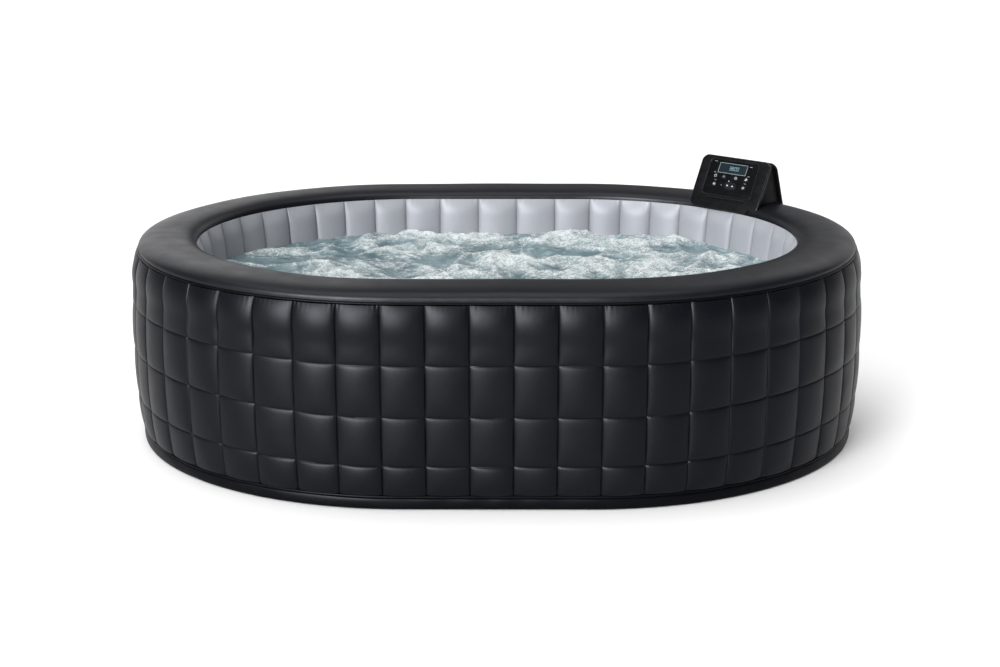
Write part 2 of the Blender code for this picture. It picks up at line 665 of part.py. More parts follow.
def make_air_circuit(frame, shell):
    """Blower, the air pipe that loops over the water line, and its check valve."""
    blower = frame @ Matrix.Translation((BLOWER_X, 0, BLOWER_Z)) @ OUTWARD
    wall, mouth = 0.0025, 0.024
    outer, near, far = BLOWER_RADIUS, BLOWER_OUTER_Y, BLOWER_INNER_Y
    housing = turned(
        "blower_housing",
        [
            (mouth, near), (outer, near), (outer, far), (0.006, far), (0.006, far + wall),
            (outer - wall, far + wall), (outer - wall, near - wall), (mouth, near - wall),
        ],
        blower, 20, closed=True,
    )
    keep(smooth(housing), BLACK_PLASTIC)
    up = frame @ Matrix.Translation((BLOWER_X, AIR_Y, 0))
    stub_top = BLOWER_Z + outer + 0.018
    stub = rod("blower_stub", AIR_RADIUS + 0.003, BLOWER_Z + outer - 0.003, stub_top, up)
    combine(housing, tool(stub), "UNION")
    throat = rod("blower_throat", AIR_RADIUS, BLOWER_Z + outer - 0.020, stub_top + 0.01, up)
    combine(housing, tool(throat), "DIFFERENCE")

    fan = keep(smooth(rod("blower_fan", 0.042, far + 0.006, far + 0.009, blower, 20)), GREY_PLASTIC)
    combine(fan, tool(rod("fan_shaft", 0.0035, far - 0.012, far + 0.030, blower, 10)), "UNION")

    def blades(shape):
        for blade in range(10):
            turn = Matrix.Rotation(math.radians(36 * blade), 4, "Z")
            tilt = Matrix.Rotation(math.radians(35), 4, "Z")
            place = turn @ Matrix.Translation((0.034, 0, far + 0.020)) @ tilt
            size = Matrix.Diagonal((0.014, 0.0015, 0.026, 1))
            bmesh.ops.create_cube(shape, size=1.0, matrix=place @ size)

    combine(fan, tool(mesh_object("fan_blades", blades, blower)), "UNION")
    bore_end = far - 0.015
    motor = [
        (0, bore_end), (0.004, bore_end), (0.004, far - GAP), (0.020, far - GAP),
        (0.020, far - 0.040), (0.016, far - 0.046), (0, far - 0.046),
    ]
    keep(smooth(turned("blower_motor", motor, blower)), MOTOR_PAINT)

    upper = [
        (BLOWER_X, AIR_Y, stub_top + GAP),
        (BLOWER_X, AIR_Y, 0.535),
        (AIR_X, AIR_Y, 0.535),
        (AIR_X, AIR_Y, CHECK_VALVE_HIGH + GAP),
    ]
    keep(hose("air_pipe_upper", upper, 0.024, AIR_RADIUS, frame, 0.0015), RUBBER)
    down = frame @ Matrix.Translation((AIR_X, AIR_Y, 0))
    middle = (CHECK_VALVE_LOW + CHECK_VALVE_HIGH) / 2
    swell = [(AIR_RADIUS, CHECK_VALVE_HIGH), (AIR_RADIUS, middle + 0.012), (0.0125, middle + 0.008)]
    outside = swell + [(radius, 2 * middle - height) for radius, height in reversed(swell)]
    inside = [(0.005, CHECK_VALVE_LOW), (0.005, CHECK_VALVE_HIGH)]
    keep(smooth(turned("check_valve", outside + inside, down, 12, closed=True)), WHITE_PLASTIC)
    lower = [
        (AIR_X, AIR_Y, CHECK_VALVE_LOW - GAP),
        (AIR_X, AIR_Y, AIR_ENTRY_Z),
        (AIR_X, -0.2200, AIR_ENTRY_Z),
    ]
    keep(hose("air_pipe_lower", lower, 0.024, AIR_RADIUS, frame, 0.0015), RUBBER)
    port = frame @ Matrix.Translation((AIR_X, 0, AIR_ENTRY_Z)) @ OUTWARD
    combine(shell, tool(rod("air_port", AIR_RADIUS + 0.0008, -0.18, -0.15, port)), "DIFFERENCE")


def make_electrics(frame, shell):
    """Control board, the lead up to the keypad and the mains inlet."""
    low = (-0.090, -0.140, 0.574)
    high = (0.090, -0.025, 0.5756)
    board = keep(block("control_board", low, high, frame), CIRCUIT)

    def components(shape):
        for x, y, wide, deep, tall in (
            (-0.060, -0.110, 0.040, 0.035, 0.026),
            (-0.055, -0.055, 0.020, 0.016, 0.018),
            (-0.025, -0.055, 0.020, 0.016, 0.018),
            (0.060, -0.060, 0.030, 0.030, 0.004),
            (0.020, -0.120, 0.024, 0.008, 0.012),
        ):
            place = Matrix.Translation((x, y, 0.575 + tall / 2))
            size = Matrix.Diagonal((wide, deep, tall, 1))
            bmesh.ops.create_cube(shape, size=1.0, matrix=place @ size)

    combine(board, tool(mesh_object("board_components", components, frame)), "UNION")
    lead = [
        (LEAD_X, LEAD_Y, 0.5880),
        (LEAD_X, LEAD_Y, 0.655),
        (LEAD_X, LEAD_Y + 0.002, 0.705),
        (LEAD_X, LEAD_Y - 0.0085, 0.7115),
    ]
    keep(hose("keypad_lead", lead, 0.004, 0.0025, frame), RUBBER)
    upright = frame @ Matrix.Translation((LEAD_X, LEAD_Y, 0))
    hole = rod("lead_hole", 0.006, BOX_HIGH - 0.010, BOX_HIGH + 0.010, upright, 10)
    combine(shell, tool(hole), "DIFFERENCE")

    outer_face = BOX_FRONT_Y + GAP + PANEL_THICKNESS
    place = frame @ Matrix.Translation((INLET_X, outer_face, INLET_Z)) @ OUTWARD
    gland = [
        (0.006, 0.014), (0.011, 0.014), (0.014, 0.008), (0.014, GAP),
        (0.010, GAP), (0.010, -0.014), (0.006, -0.014),
    ]
    keep(smooth(turned("power_inlet", gland, place, 12, closed=True)), BLACK_PLASTIC)


def slab_frame(frame):
    """Frame of the console's slab: x across, y up the slab, z out of its face."""
    return frame @ Matrix.Translation(SLAB_FOOT) @ Matrix.Rotation(SLAB_LEAN, 4, "X")


def side_prism(name, outline, half_width, frame):
    """An outline of (y, z) points made into a prism across the console."""
    turn = Matrix(((0, 0, 1, 0), (1, 0, 0, 0), (0, 1, 0, 0), (0, 0, 0, 1)))
    return plate(name, outline, -half_width, half_width, frame @ turn)


def make_console(frame, pocket, box_envelope, rim_clear):
    """Gasket, wedge body, front bezel and rear leg of the console."""
    face = slab_frame(frame)
    gasket_low = (-CONSOLE_HALF - 0.002, -0.30, 0.58)
    gasket_high = (CONSOLE_HALF + 0.002, 0.0, 0.70)
    gasket = keep(swept("console_gasket", rim_section(GASKET) + rim_section(GAP)[::-1], True), RUBBER)
    combine(gasket, tool(block("gasket_area", gasket_low, gasket_high, frame)), "INTERSECT")
    combine(gasket, pocket, "DIFFERENCE")

    bezel_outline = rounded_outline((-CONSOLE_HALF, 0.0), (CONSOLE_HALF, SLAB_LENGTH), SLAB_CORNER)
    bezel = keep(plate("console_bezel", bezel_outline, -SLAB_THICKNESS, 0.0, face), BLACK_PLASTIC)
    window = rounded_outline(KEYPAD_LOW, KEYPAD_HIGH, KEYPAD_CORNER, 3)
    combine(bezel, tool(plate("keypad_window", window, -0.03, 0.01, face)), "DIFFERENCE")
    combine(bezel, rim_clear, "DIFFERENCE")

    leg = (LEG_FOOT - LEG_TOP).normalized()
    leg_in = Vector((0.0, leg.z, -leg.y))
    slab_up = (SLAB_TOP - SLAB_FOOT).normalized()
    slab_in = Vector((0.0, slab_up.z, -slab_up.y))
    front_foot = SLAB_FOOT + slab_in * (SLAB_THICKNESS + GAP)
    front_top = SLAB_TOP + slab_in * (SLAB_THICKNESS + GAP)
    rear_top = LEG_TOP + leg_in * (LEG_THICKNESS + GAP) + leg * 0.002
    rear_foot = LEG_FOOT + leg_in * (LEG_THICKNESS + GAP)
    corners = [front_foot, rear_foot, rear_top, front_top]
    body_half = CONSOLE_HALF - SIDE_INSET
    body = side_prism("console_housing", [(p.y, p.z) for p in corners], body_half, frame)
    keep(body, BLACK_PLASTIC)
    wall = CONSOLE_WALL
    hollow = [
        front_foot + slab_in * wall - Vector((0, 0, 0.05)),
        rear_foot + leg_in * wall - Vector((0, 0, 0.05)),
        rear_top + leg_in * wall + leg * wall,
        front_top + slab_in * wall - slab_up * wall * 2,
    ]
    space = side_prism("console_hollow", [(p.y, p.z) for p in hollow], body_half - wall, frame)
    combine(body, tool(space), "DIFFERENCE")
    opening = rounded_outline((-0.094, 0.043), (0.089, 0.156), 0.004, 2)
    combine(body, tool(plate("body_window", opening, -0.030, -0.005, face)), "DIFFERENCE")

    inward = leg_in * LEG_THICKNESS
    leg_corners = [LEG_TOP, LEG_TOP + inward, LEG_FOOT + inward, LEG_FOOT]
    rear = side_prism("console_rear_cover", [(p.y, p.z) for p in leg_corners], CONSOLE_HALF, frame)
    keep(rear, BLACK_PLASTIC)
    for item in (body, rear):
        combine(item, rim_clear, "DIFFERENCE")
        combine(item, box_envelope, "DIFFERENCE")


def make_keypad(frame):
    """Keypad plate, display, circuit board, indicator and the eight buttons."""
    face = slab_frame(frame)
    inset = (GAP, GAP)
    low = tuple(a + b for a, b in zip(KEYPAD_LOW, inset))
    high = tuple(a - b for a, b in zip(KEYPAD_HIGH, inset))
    plate_outline = rounded_outline(low, high, KEYPAD_CORNER - GAP, 3)
    panel = keep(plate("keypad_panel", plate_outline, KEYPAD_BACK, KEYPAD_FRONT, face), GLOSS_PLASTIC)
    glass_window = rounded_outline(DISPLAY_LOW, DISPLAY_HIGH, 0.002, 2)
    combine(panel, tool(plate("display_window", glass_window, -0.01, 0.01, face)), "DIFFERENCE")
    glass_low = tuple(value + GAP for value in DISPLAY_LOW)
    glass_high = tuple(value - GAP for value in DISPLAY_HIGH)
    glass = rounded_outline(glass_low, glass_high, 0.0015, 2)
    keep(plate("display_lens", glass, KEYPAD_BACK + 0.0005, KEYPAD_FRONT + 0.0002, face), SCREEN)
    keep(block("display_module", (*glass_low, -0.0095), (*glass_high, -0.0045), face), GREY_PLASTIC)
    board_back = BOARD_FRONT - BOARD_THICKNESS
    keep(block("button_board", (-0.090, 0.046, board_back), (0.085, 0.153, BOARD_FRONT), face), CIRCUIT)

    button_profile = [
        (0, 0.0010), (BUTTON_RADIUS - 0.001, 0.0010), (BUTTON_RADIUS, 0.0),
        (BUTTON_RADIUS, -0.0048), (BUTTON_RADIUS + 0.0008, -0.0048),
        (BUTTON_RADIUS + 0.0008, -0.0060), (0.004, -0.0060), (0.004, -0.0105), (0, -0.0105),
    ]
    for name, (x, y) in BUTTONS.items():
        place = face @ Matrix.Translation((x, y, 0))
        hole = rod(name + "_hole", BUTTON_RADIUS + 0.0004, -0.01, 0.01, place, 12)
        combine(panel, tool(hole), "DIFFERENCE")
        keep(smooth(turned(name, button_profile, place, 12)), BLACK_PLASTIC)
    place = face @ Matrix.Translation((*LED_SPOT, 0))
    combine(panel, tool(rod("led_hole", 0.0020, -0.01, 0.01, place, 8)), "DIFFERENCE")
    led = [(0, -0.0008), (0.0015, -0.0012), (0.0015, -0.0115), (0, -0.0115)]
    keep(smooth(turned("status_led", led, place, 8)), WHITE_PLASTIC)


def make_filter(frame, wall_clear):
    """Filter base, its locking ring, the cover with the cartridge, and the water outlet."""
    axis = frame @ Matrix.Translation((PUMP_X, 0, PUMP_Z)) @ OUTWARD
    base = pipe("filter_base", 0.060, PIPE_RADIUS + GAP, -0.2240, -0.196, axis, 20)
    keep(smooth(base), GREY_PLASTIC)
    combine(base, wall_clear, "DIFFERENCE")

    near, far = FILTER_NEAR_Y, FILTER_FAR_Y
    cup = [
        (0.058, near), (0.058, near - 0.006), (FILTER_RADIUS, near - 0.006),
        (FILTER_RADIUS, far + 0.006), (FILTER_RADIUS - 0.006, far), (0, far), (0, far + 0.003),
        (FILTER_RADIUS - 0.007, far + 0.003), (FILTER_RADIUS - 0.0025, far + 0.0075),
        (FILTER_RADIUS - 0.0025, near),
    ]
    cover = turned("filter_cover", cup, axis, 20, closed=True)
    keep(smooth(cover), WHITE_PLASTIC)

    def slots(shape):
        for slot in range(6):
            turn = Matrix.Rotation(math.radians(60 * slot), 4, "Z")
            place = turn @ Matrix.Translation((FILTER_RADIUS, 0, (near + far) / 2 - 0.003))
            size = Matrix.Diagonal((0.02, 0.012, 0.060, 1))
            bmesh.ops.create_cube(shape, size=1.0, matrix=place @ size)

    combine(cover, tool(mesh_object("cover_slots", slots, axis)), "DIFFERENCE")

    outline = []
    for step in range(2 * PLEATS):
        turn = math.pi * step / PLEATS
        radius = 0.051 if step % 2 else 0.043
        outline.append((radius * math.cos(turn), radius * math.sin(turn)))
    cartridge = keep(plate("filter_cartridge", outline, far + 0.006, near - 0.002, axis), FILTER_PAPER)
    bore = rod("cartridge_bore", 0.018, far - 0.01, near + 0.01, axis, 12)
    combine(cartridge, tool(bore), "DIFFERENCE")

    ring = pipe("filter_lock_ring", 0.069, 0.0625, -0.2380, -0.2245, axis, 20)
    keep(smooth(ring), GREY_PLASTIC)

    def lugs(shape):
        for lug in range(3):
            turn = Matrix.Rotation(math.radians(120 * lug - 90), 4, "Z")
            place = turn @ Matrix.Translation((0.0695, 0, -0.2313))
            size = Matrix.Diagonal((0.008, 0.016, 0.010, 1))
            bmesh.ops.create_cube(shape, size=1.0, matrix=place @ size)

    combine(ring, tool(mesh_object("ring_lugs", lugs, axis)), "UNION")

    outlet = frame @ Matrix.Translation((RETURN_X, 0, RETURN_Z)) @ OUTWARD
    bore = PIPE_RADIUS - 0.001 + GAP
    profile = [(0.032, -0.196), (0.032, -0.2270), (0.026, -0.2330), (bore, -0.2330), (bore, -0.196)]
    nozzle = keep(smooth(turned("outlet_nozzle", profile, outlet, closed=True)), GREY_PLASTIC)
    combine(nozzle, wall_clear, "DIFFERENCE")


def make_drain(frame):
    """Pipe through the wall near the floor, with its screw cap and its stopper."""
    axis = frame @ Matrix.Translation((0, DRAIN_Y, DRAIN_Z)) @ OUTWARD
    outer, bore, end = DRAIN_RADIUS, DRAIN_BORE, DRAIN_END
    profile = [
        (outer + 0.007, -0.008), (outer + 0.007, -0.0110), (outer, -0.0110),
        (outer, end), (bore, end), (bore, -0.008),
    ]
    keep(smooth(turned("drain_pipe", profile, axis, closed=True)), WHITE_PLASTIC)
    inner = bore - 0.0006
    cap = [
        (0, 0.004), (0.019, 0.004), (0.021, 0.002), (0.021, -0.0075),
        (inner, -0.0075), (inner, -0.016), (0, -0.016),
    ]
    cap_item = keep(smooth(turned("drain_cap", cap, axis)), BLACK_PLASTIC)

    def grips(shape):
        for notch in range(8):
            turn = Matrix.Rotation(math.radians(45 * notch), 4, "Z")
            place = turn @ Matrix.Translation((0.022, 0, -0.001))
            size = Matrix.Diagonal((0.004, 0.004, 0.02, 1))
            bmesh.ops.create_cube(shape, size=1.0, matrix=place @ size)

    combine(cap_item, tool(mesh_object("cap_grips", grips, axis)), "DIFFERENCE")
    plug = [
        (0, end + 0.012), (inner, end + 0.012), (inner, end - GAP), (0.019, end - GAP),
        (0.019, end - 0.0035), (0.006, end - 0.0040), (0.006, end - 0.012), (0, end - 0.012),
    ]
    keep(smooth(turned("drain_plug", plug, axis)), RUBBER)


def make_inflation_valve(frame):
    """Valve body in the outer wall, its sprung plunger and the cap over it."""
    axis = frame @ Matrix.Translation((0, VALVE_Y, VALVE_Z)) @ OUTWARD
    outer, bore, seat = VALVE_RADIUS, VALVE_BORE, 0.012
    profile = [
        (0.030, -0.0030), (0.030, -0.0052), (outer, -0.0052), (outer, -0.040),
        (seat, -0.040), (seat, -0.038), (bore, -0.038), (bore, -0.0030),
    ]
    body = keep(smooth(turned("valve_body", profile, axis, closed=True)), BLACK_PLASTIC)
    bar = block("valve_bar", (-bore - 0.002, -0.003, -0.031), (bore + 0.002, 0.003, -0.028), axis)
    combine(body, tool(bar), "UNION")
    combine(body, tool(rod("stem_hole", 0.0034, -0.035, -0.02, axis, 10)), "DIFFERENCE")
    plunger = [
        (0, -0.016), (0.005, -0.016), (0.005, -0.018), (0.0028, -0.018), (0.0028, -0.0405),
        (0.0145, -0.0405), (0.0145, -0.0430), (0, -0.0430),
    ]
    keep(smooth(turned("valve_plunger", plunger, axis, 12)), WHITE_PLASTIC)
    cap = [
        (0, 0.003), (0.024, 0.003), (0.026, 0.001), (0.026, -0.0025),
        (0.0140, -0.0025), (0.0140, -0.010), (0, -0.010),
    ]
    keep(smooth(turned("valve_cap", cap, axis)), BLACK_PLASTIC)


def main():
    seam_x = HALF_STRAIGHT + END_REACH * math.cos(CONTROL_PARAMETER)
    seam_y = HALF_WIDTH * math.sin(CONTROL_PARAMETER)
    control = Matrix.Translation((seam_x, seam_y, 0)) @ Matrix.Rotation(CONTROL_TURN, 4, "Z")
    drain = Matrix.Translation((DRAIN_X, HALF_WIDTH, 0))
    valve = Matrix.Translation((VALVE_X, HALF_WIDTH, 0))
    nearest = min(range(len(SEAM)), key=lambda i: (SEAM[i] - Vector((seam_x, seam_y))).length)

    pocket_low = (-BOX_HALF - POCKET_SPARE, BOX_INNER_Y - POCKET_SPARE, BOX_LOW - 0.003)
    pocket_high = (BOX_HALF + POCKET_SPARE, 0.06, 0.72)
    pocket = tool(block("box_pocket", pocket_low, pocket_high, control))
    envelope_high = (BOX_HALF + POCKET_SPARE, 0.06, BOX_HIGH + GAP)
    box_envelope = tool(block("box_envelope", pocket_low, envelope_high, control))
    drain_axis = drain @ Matrix.Translation((0, 0, DRAIN_Z)) @ OUTWARD
    drain_hole = tool(rod("drain_hole", DRAIN_RADIUS + GAP, -0.25, 0.05, drain_axis))
    valve_axis = valve @ Matrix.Translation((0, 0, VALVE_Z)) @ OUTWARD
    valve_hole = tool(rod("valve_hole", VALVE_RADIUS + GAP, -0.05, 0.05, valve_axis))

    def ports(shape):
        for x, height, radius in (
            (PUMP_X, PUMP_Z, PIPE_RADIUS),
            (RETURN_X, RETURN_Z, PIPE_RADIUS),
            (AIR_X, AIR_ENTRY_Z, AIR_RADIUS),
        ):
            place = Matrix.Translation((x, -0.21, height)) @ OUTWARD
            bmesh.ops.create_cone(
                shape, cap_ends=True, segments=16, radius1=radius + 0.001,
                radius2=radius + 0.001, depth=0.10, matrix=place,
            )

    wall_ports = tool(mesh_object("wall_ports", ports, control))
    clear_offset = -WALL_INSIDE - GAP
    clear_section = [(clear_offset, 0.05), (clear_offset, 0.30), (0.0, 0.30), (0.0, 0.05)]
    wall_clear = tool(swept("wall_clearance", clear_section, True))
    rim_clear = rim_solid("rim_clearance", GASKET + GAP)

    make_walls(pocket, drain_hole, valve_hole, wall_ports)
    make_welts(pocket)
    make_floor()
    make_webs(SEAM_RUN[nearest])
    make_air_channel()
    shell = make_control_box(control)
    make_water_circuit(control, shell)
    make_air_circuit(control, shell)
    make_electrics(control, shell)
    make_console(control, pocket, box_envelope, rim_clear)
    make_keypad(control)
    make_filter(control, wall_clear)
    make_drain(drain)
    make_inflation_valve(valve)


main()
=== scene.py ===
import json
import math

import bmesh
import bpy
import numpy as np
from mathutils import Matrix, Vector, noise


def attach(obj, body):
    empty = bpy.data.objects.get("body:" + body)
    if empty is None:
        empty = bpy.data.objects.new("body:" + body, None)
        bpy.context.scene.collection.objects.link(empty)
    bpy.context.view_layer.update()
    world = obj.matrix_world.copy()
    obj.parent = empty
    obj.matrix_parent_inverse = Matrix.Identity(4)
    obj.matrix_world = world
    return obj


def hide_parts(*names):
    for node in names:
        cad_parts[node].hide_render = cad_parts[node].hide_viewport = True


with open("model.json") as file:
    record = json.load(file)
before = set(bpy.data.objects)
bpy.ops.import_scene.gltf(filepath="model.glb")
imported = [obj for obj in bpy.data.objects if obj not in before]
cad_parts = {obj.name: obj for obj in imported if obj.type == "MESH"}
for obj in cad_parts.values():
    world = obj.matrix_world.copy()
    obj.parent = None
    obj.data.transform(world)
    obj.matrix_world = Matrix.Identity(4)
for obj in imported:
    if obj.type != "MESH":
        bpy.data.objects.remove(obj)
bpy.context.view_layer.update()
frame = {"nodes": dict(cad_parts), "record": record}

# Metres, Z up. Sections of the wall are (offset outwards from the outer seam, height).
DICE = np.random.default_rng(29)

# Oval of the outer seam
HALF_LENGTH = 1.145
HALF_WIDTH = 0.778
HALF_STRAIGHT = 0.270
END_REACH = HALF_LENGTH - HALF_STRAIGHT
FINE_STEPS = 2880

# Quilted outer wall
COLUMNS = 50
COLUMN_STEPS = 32
COLUMN_SHIFT = -0.011
ROW_STEPS = 16
ROW_HEIGHTS = np.array((0.6095, 0.437, 0.283, 0.135, 0.0445))
ROW_OFFSETS = np.array((0.001, 0.0145, 0.0165, 0.0155, 0.0095))
ROW_RISE = np.array((0.0, 0.018, 0.026, 0.018, 0.0))
CELL_BULGE = 0.0120
UNEVEN_BULGE, UNEVEN_LEAN = 0.10, 0.18
ROW_BULGE = 0.0015
SHOULDER, END_SWELL = 0.006, 0.009
END_FROM, END_TO = 0.35, 1.10  # the rounded ends begin and are in full along x
WALL_THICKNESS = 0.0018
FITTING_BLEND = 0.030  # the wall swells back to its full depth over this distance from a fitting
WELD_DEPTH, WELD_HALF = 0.0014, 0.0016
CREASE_DEPTH, CREASE_HALF = 0.0012, 0.0014
# Gathers in the sheet: how deep they are at a seam, and how far they reach from it
RIM_GATHER, RIM_GATHER_REACH = 0.00110, 0.009
BASE_GATHER, BASE_GATHER_REACH = 0.00070, 0.010
ROW_GATHER, ROW_GATHER_REACH = 0.00030, 0.009
SIDE_GATHER, SIDE_GATHER_REACH = 0.00035, 0.010

# Rim, welts and skirt
RIM_TOP = 0.650
RIM_WIDTH = 0.183
OUTER_SEAM_Z = 0.614
INNER_SEAM_Z = 0.621
RIM_CURL = 0.72
RIM_STEPS = 44
RIM_STATIONS = 720
RIM_SWELL, RIM_PUCKER, RIM_PUCKER_PITCH = 0.0006, 0.0002, 0.063
WELT_RADIUS = 0.0036
BASE_WELT_RADIUS = 0.0042
BASE_WELT_OFFSET, BASE_WELT_HEIGHT = 0.0105, 0.0395
FOOT_SECTION = (
    (0.0060, 0.0200), (0.0072, 0.0340), (0.0115, 0.0345), (0.0135, 0.0250), (0.0140, 0.0140),
    (0.0130, 0.0040), (0.0080, 0.0006), (0.0048, 0.0030), (0.0060, 0.0200),
)

# Ribbed inner wall
RIBS = 46
RIB_STEPS = 26
RIB_BULGE = 0.0150
INNER_WALL_LOW, INNER_WALL_HIGH = 0.0205, 0.6205
INNER_HEIGHTS = (INNER_WALL_LOW, 0.20, 0.48, INNER_WALL_HIGH)
INNER_FACE = (-0.205, -0.205, -0.201, -0.184)
INNER_BACK = (-0.2030, -0.2030, -0.199, -0.1825)

# Water
WATER_LEVEL = 0.503
WATER_BOTTOM = 0.430
WATER_STATIONS = 840
WATER_RINGS = 130
WATER_SINK = 0.016  # how far the waves' middle level lies under their zero
# Each kind of wave: waves in a metre, and height
BROAD_RATE, BROAD_WAVE = 3.0, 0.020
CHOP_RATE, CHOP_WAVE = 8.5, 0.018
PEAK_RATE, PEAK_WAVE = 19.0, 0.0070
FIZZ_RATE, FIZZ_WAVE = 46.0, 0.0030
SPIT_RATE, SPIT_WAVE = 95.0, 0.0014

# Control box and console, in the box's own frame: x along the wall, y outwards
CONTROL_PARAMETER = math.radians(44.1)
CONTROL_TURN = math.radians(-40.7)
BOX_HALF = 0.120
BOX_FRONT_Y = 0.022
CONSOLE_HALF = 0.1385
SLAB_FOOT = Vector((0.0, -0.188, 0.638))
SLAB_TOP = Vector((0.0, -0.106, 0.795))
LEG_TOP = Vector((0.0, -0.071, 0.787))
LEG_FOOT = Vector((0.0, -0.014, 0.628))
LEG_THICKNESS = 0.008
WEDGE_INSET = 0.010
WEDGE_SECTION = (  # y and z, round the wedge between the slab and the leg
    (-0.150, 0.632), (-0.169, 0.640), (-0.0985, 0.7895), (-0.078, 0.7865), (-0.024, 0.634),
)
GASKET = 0.0026
GASKET_HALF = 0.1425
SLAB_LENGTH = (SLAB_TOP - SLAB_FOOT).length
SLAB_LEAN = math.atan2(SLAB_TOP.z - SLAB_FOOT.z, SLAB_TOP.y - SLAB_FOOT.y)
LEG_LENGTH = (LEG_TOP - LEG_FOOT).length
LEG_LEAN = math.atan2(LEG_TOP.z - LEG_FOOT.z, LEG_TOP.y - LEG_FOOT.y)

# Face of the console, in the slab's own frame: x to the right, y up its slope
BUTTONS = {
    "power_button": (-0.064, 0.104),
    "lock_button": (-0.030, 0.104),
    "timer_button": (0.019, 0.104),
    "bubble_button": (0.061, 0.104),
    "heater_button": (-0.060, 0.074),
    "temp_down_button": (-0.006, 0.074),
    "temp_up_button": (0.0145, 0.074),
    "filter_button": (0.059, 0.074),
}
TEMPERATURE_KEYS = ("temp_down_button", "temp_up_button")
BUTTON_RADIUS = 0.0088
LED_SPOT = (-0.032, 0.074)
SLAB_CORNER = 0.025
SLAB_THICKNESS = 0.012
SLAB_OVERHANG = 0.010
KEYPAD_LOW, KEYPAD_HIGH = (-0.098, 0.039), (0.093, 0.160)
KEYPAD_CORNER = 0.008
DISPLAY_LOW, DISPLAY_HIGH = (-0.060, 0.118), (0.051, 0.153)
DIGITS = (("3", -0.0185), ("8", -0.0085), ("0", 0.0025), ("0", 0.0125))
DIGIT_FOOT, DIGIT_HEIGHT = 0.1300, 0.0125
PRINTED_DASHES = (  # middle and half length
    (-0.079, 0.156, 0.0060), (0.064, 0.151, 0.0050), (-0.072, 0.1165, 0.0040),
    (0.066, 0.1165, 0.0045), (-0.060, 0.0895, 0.0040), (0.060, 0.0895, 0.0040),
)

# Access panel, from the side: x along the wall and height
PANEL_HALF, PANEL_LOW, PANEL_HIGH = 0.117, 0.0515, 0.611
SCREW_INSET = 0.0085
INLET = (-0.080, 0.085)
LOUVRES, LOUVRE_FOOT, LOUVRE_PITCH = 6, 0.390, 0.012

# Fittings in the back wall: x, distance outwards and height
VALVE_SPOT = (0.120, 0.034, 0.202)
DRAIN_SPOT = (-0.150, 0.035, 0.098)
DRAIN_PIPE_END = -0.2140
OUTWARD = Matrix.Rotation(math.radians(-90), 4, "X")

# The studio. A sun has a name, the way its light goes, a strength, a spread in degrees, and
# whether it only shows in reflections.
FLOOR_HALF = 400.0
FILL_LIGHT = 0.20
BACKDROP_LIGHT = 1.0  # what the camera sees past the floor
SUNS = (
    ("key", (0.55, 0.75, -0.40), 2.2, 25, False),
    ("overhead", (0.15, 0.05, -1.0), 2.8, 60, False),
    ("rim_light", (0.42, -0.88, -0.22), 0.6, 40, False),
    ("sheen", (0.40, 0.85, -0.27), 8.0, 30, True),
    ("far_sheen", (-0.50, -0.75, -0.38), 0.45, 45, True),
)
CAMERA_AT = (0.0284, -5.333, 1.883)
CAMERA_TURN = (math.radians(73.44), 0, math.radians(0.2))
CAMERA_LENS, CAMERA_SENSOR = 61.0, 36.0

# Tone of the light that vinyl reflects
VINYL_SHEEN = (0.90, 0.92, 1.0, 1.0)

# Dark and light tones of a sheet, its roughness, and the depth of its grain and its reflection
VINYLS = {
    "black_vinyl": ((0.0024, 0.0027, 0.0046), (0.0044, 0.0049, 0.0074), 0.40, 0.35, 0.105),
    "rim_vinyl": ((0.0032, 0.0035, 0.0056), (0.0052, 0.0056, 0.0084), 0.42, 0.2, 0.17),
    "grey_vinyl": ((0.325, 0.335, 0.365), (0.395, 0.405, 0.435), 0.45, 0.2, 0.3),
    "web_vinyl": ((0.24, 0.24, 0.26), (0.34, 0.34, 0.36), 0.60, 0.35, 0.5),
    "ground_sheet": ((0.0014, 0.0016, 0.0026), (0.0026, 0.0029, 0.0042), 0.38, 0.3, 0.06),
    "filter_paper": ((0.72, 0.75, 0.80), (0.84, 0.86, 0.90), 0.85, 0.6, 0.5),
}

# The same for a moulding, with the scale of its grain last; what is left out is as usual
PLASTICS = {
    "black_plastic": ((0.0036, 0.0038, 0.0048), (0.0060, 0.0064, 0.0078), 0.40, 0.3, 0.14),
    "console_gloss": ((0.0026, 0.0028, 0.0036), (0.0044, 0.0047, 0.0058), 0.28, 0.3, 0.14),
    # darker copy of the console plastic: painted shade for the shadowed sides of the wedge and the leg
    "console_painted_shade": ((0.0020, 0.0022, 0.0030), (0.0034, 0.0037, 0.0048), 0.45, 0.3, 0.05),
    "keypad_gloss": ((0.0016, 0.0018, 0.0025), (0.0028, 0.0030, 0.0040), 0.26, 0.08, 0.11),
    "screen_glass": ((0.0055, 0.0120, 0.0155), (0.0095, 0.0185, 0.0235), 0.12, 0.02, 0.26),
    "grey_plastic": ((0.30, 0.31, 0.33), (0.38, 0.39, 0.41), 0.45),
    "white_plastic": ((0.70, 0.71, 0.73), (0.80, 0.81, 0.82), 0.40),
    "icon_print": ((0.42, 0.45, 0.47), (0.52, 0.55, 0.57), 0.45),
    "trim_print": ((0.30, 0.34, 0.35), (0.40, 0.44, 0.45), 0.40),
    "window_trim": ((0.18, 0.21, 0.215), (0.24, 0.27, 0.275), 0.40),
    "motor_paint": ((0.035, 0.045, 0.055), (0.06, 0.07, 0.08), 0.45, 0.5, 0.5, 700.0),
    "rubber": ((0.0035, 0.0035, 0.0038), (0.0060, 0.0060, 0.0065), 0.70, 0.5, 0.1, 900.0),
}


# ---- Node helpers


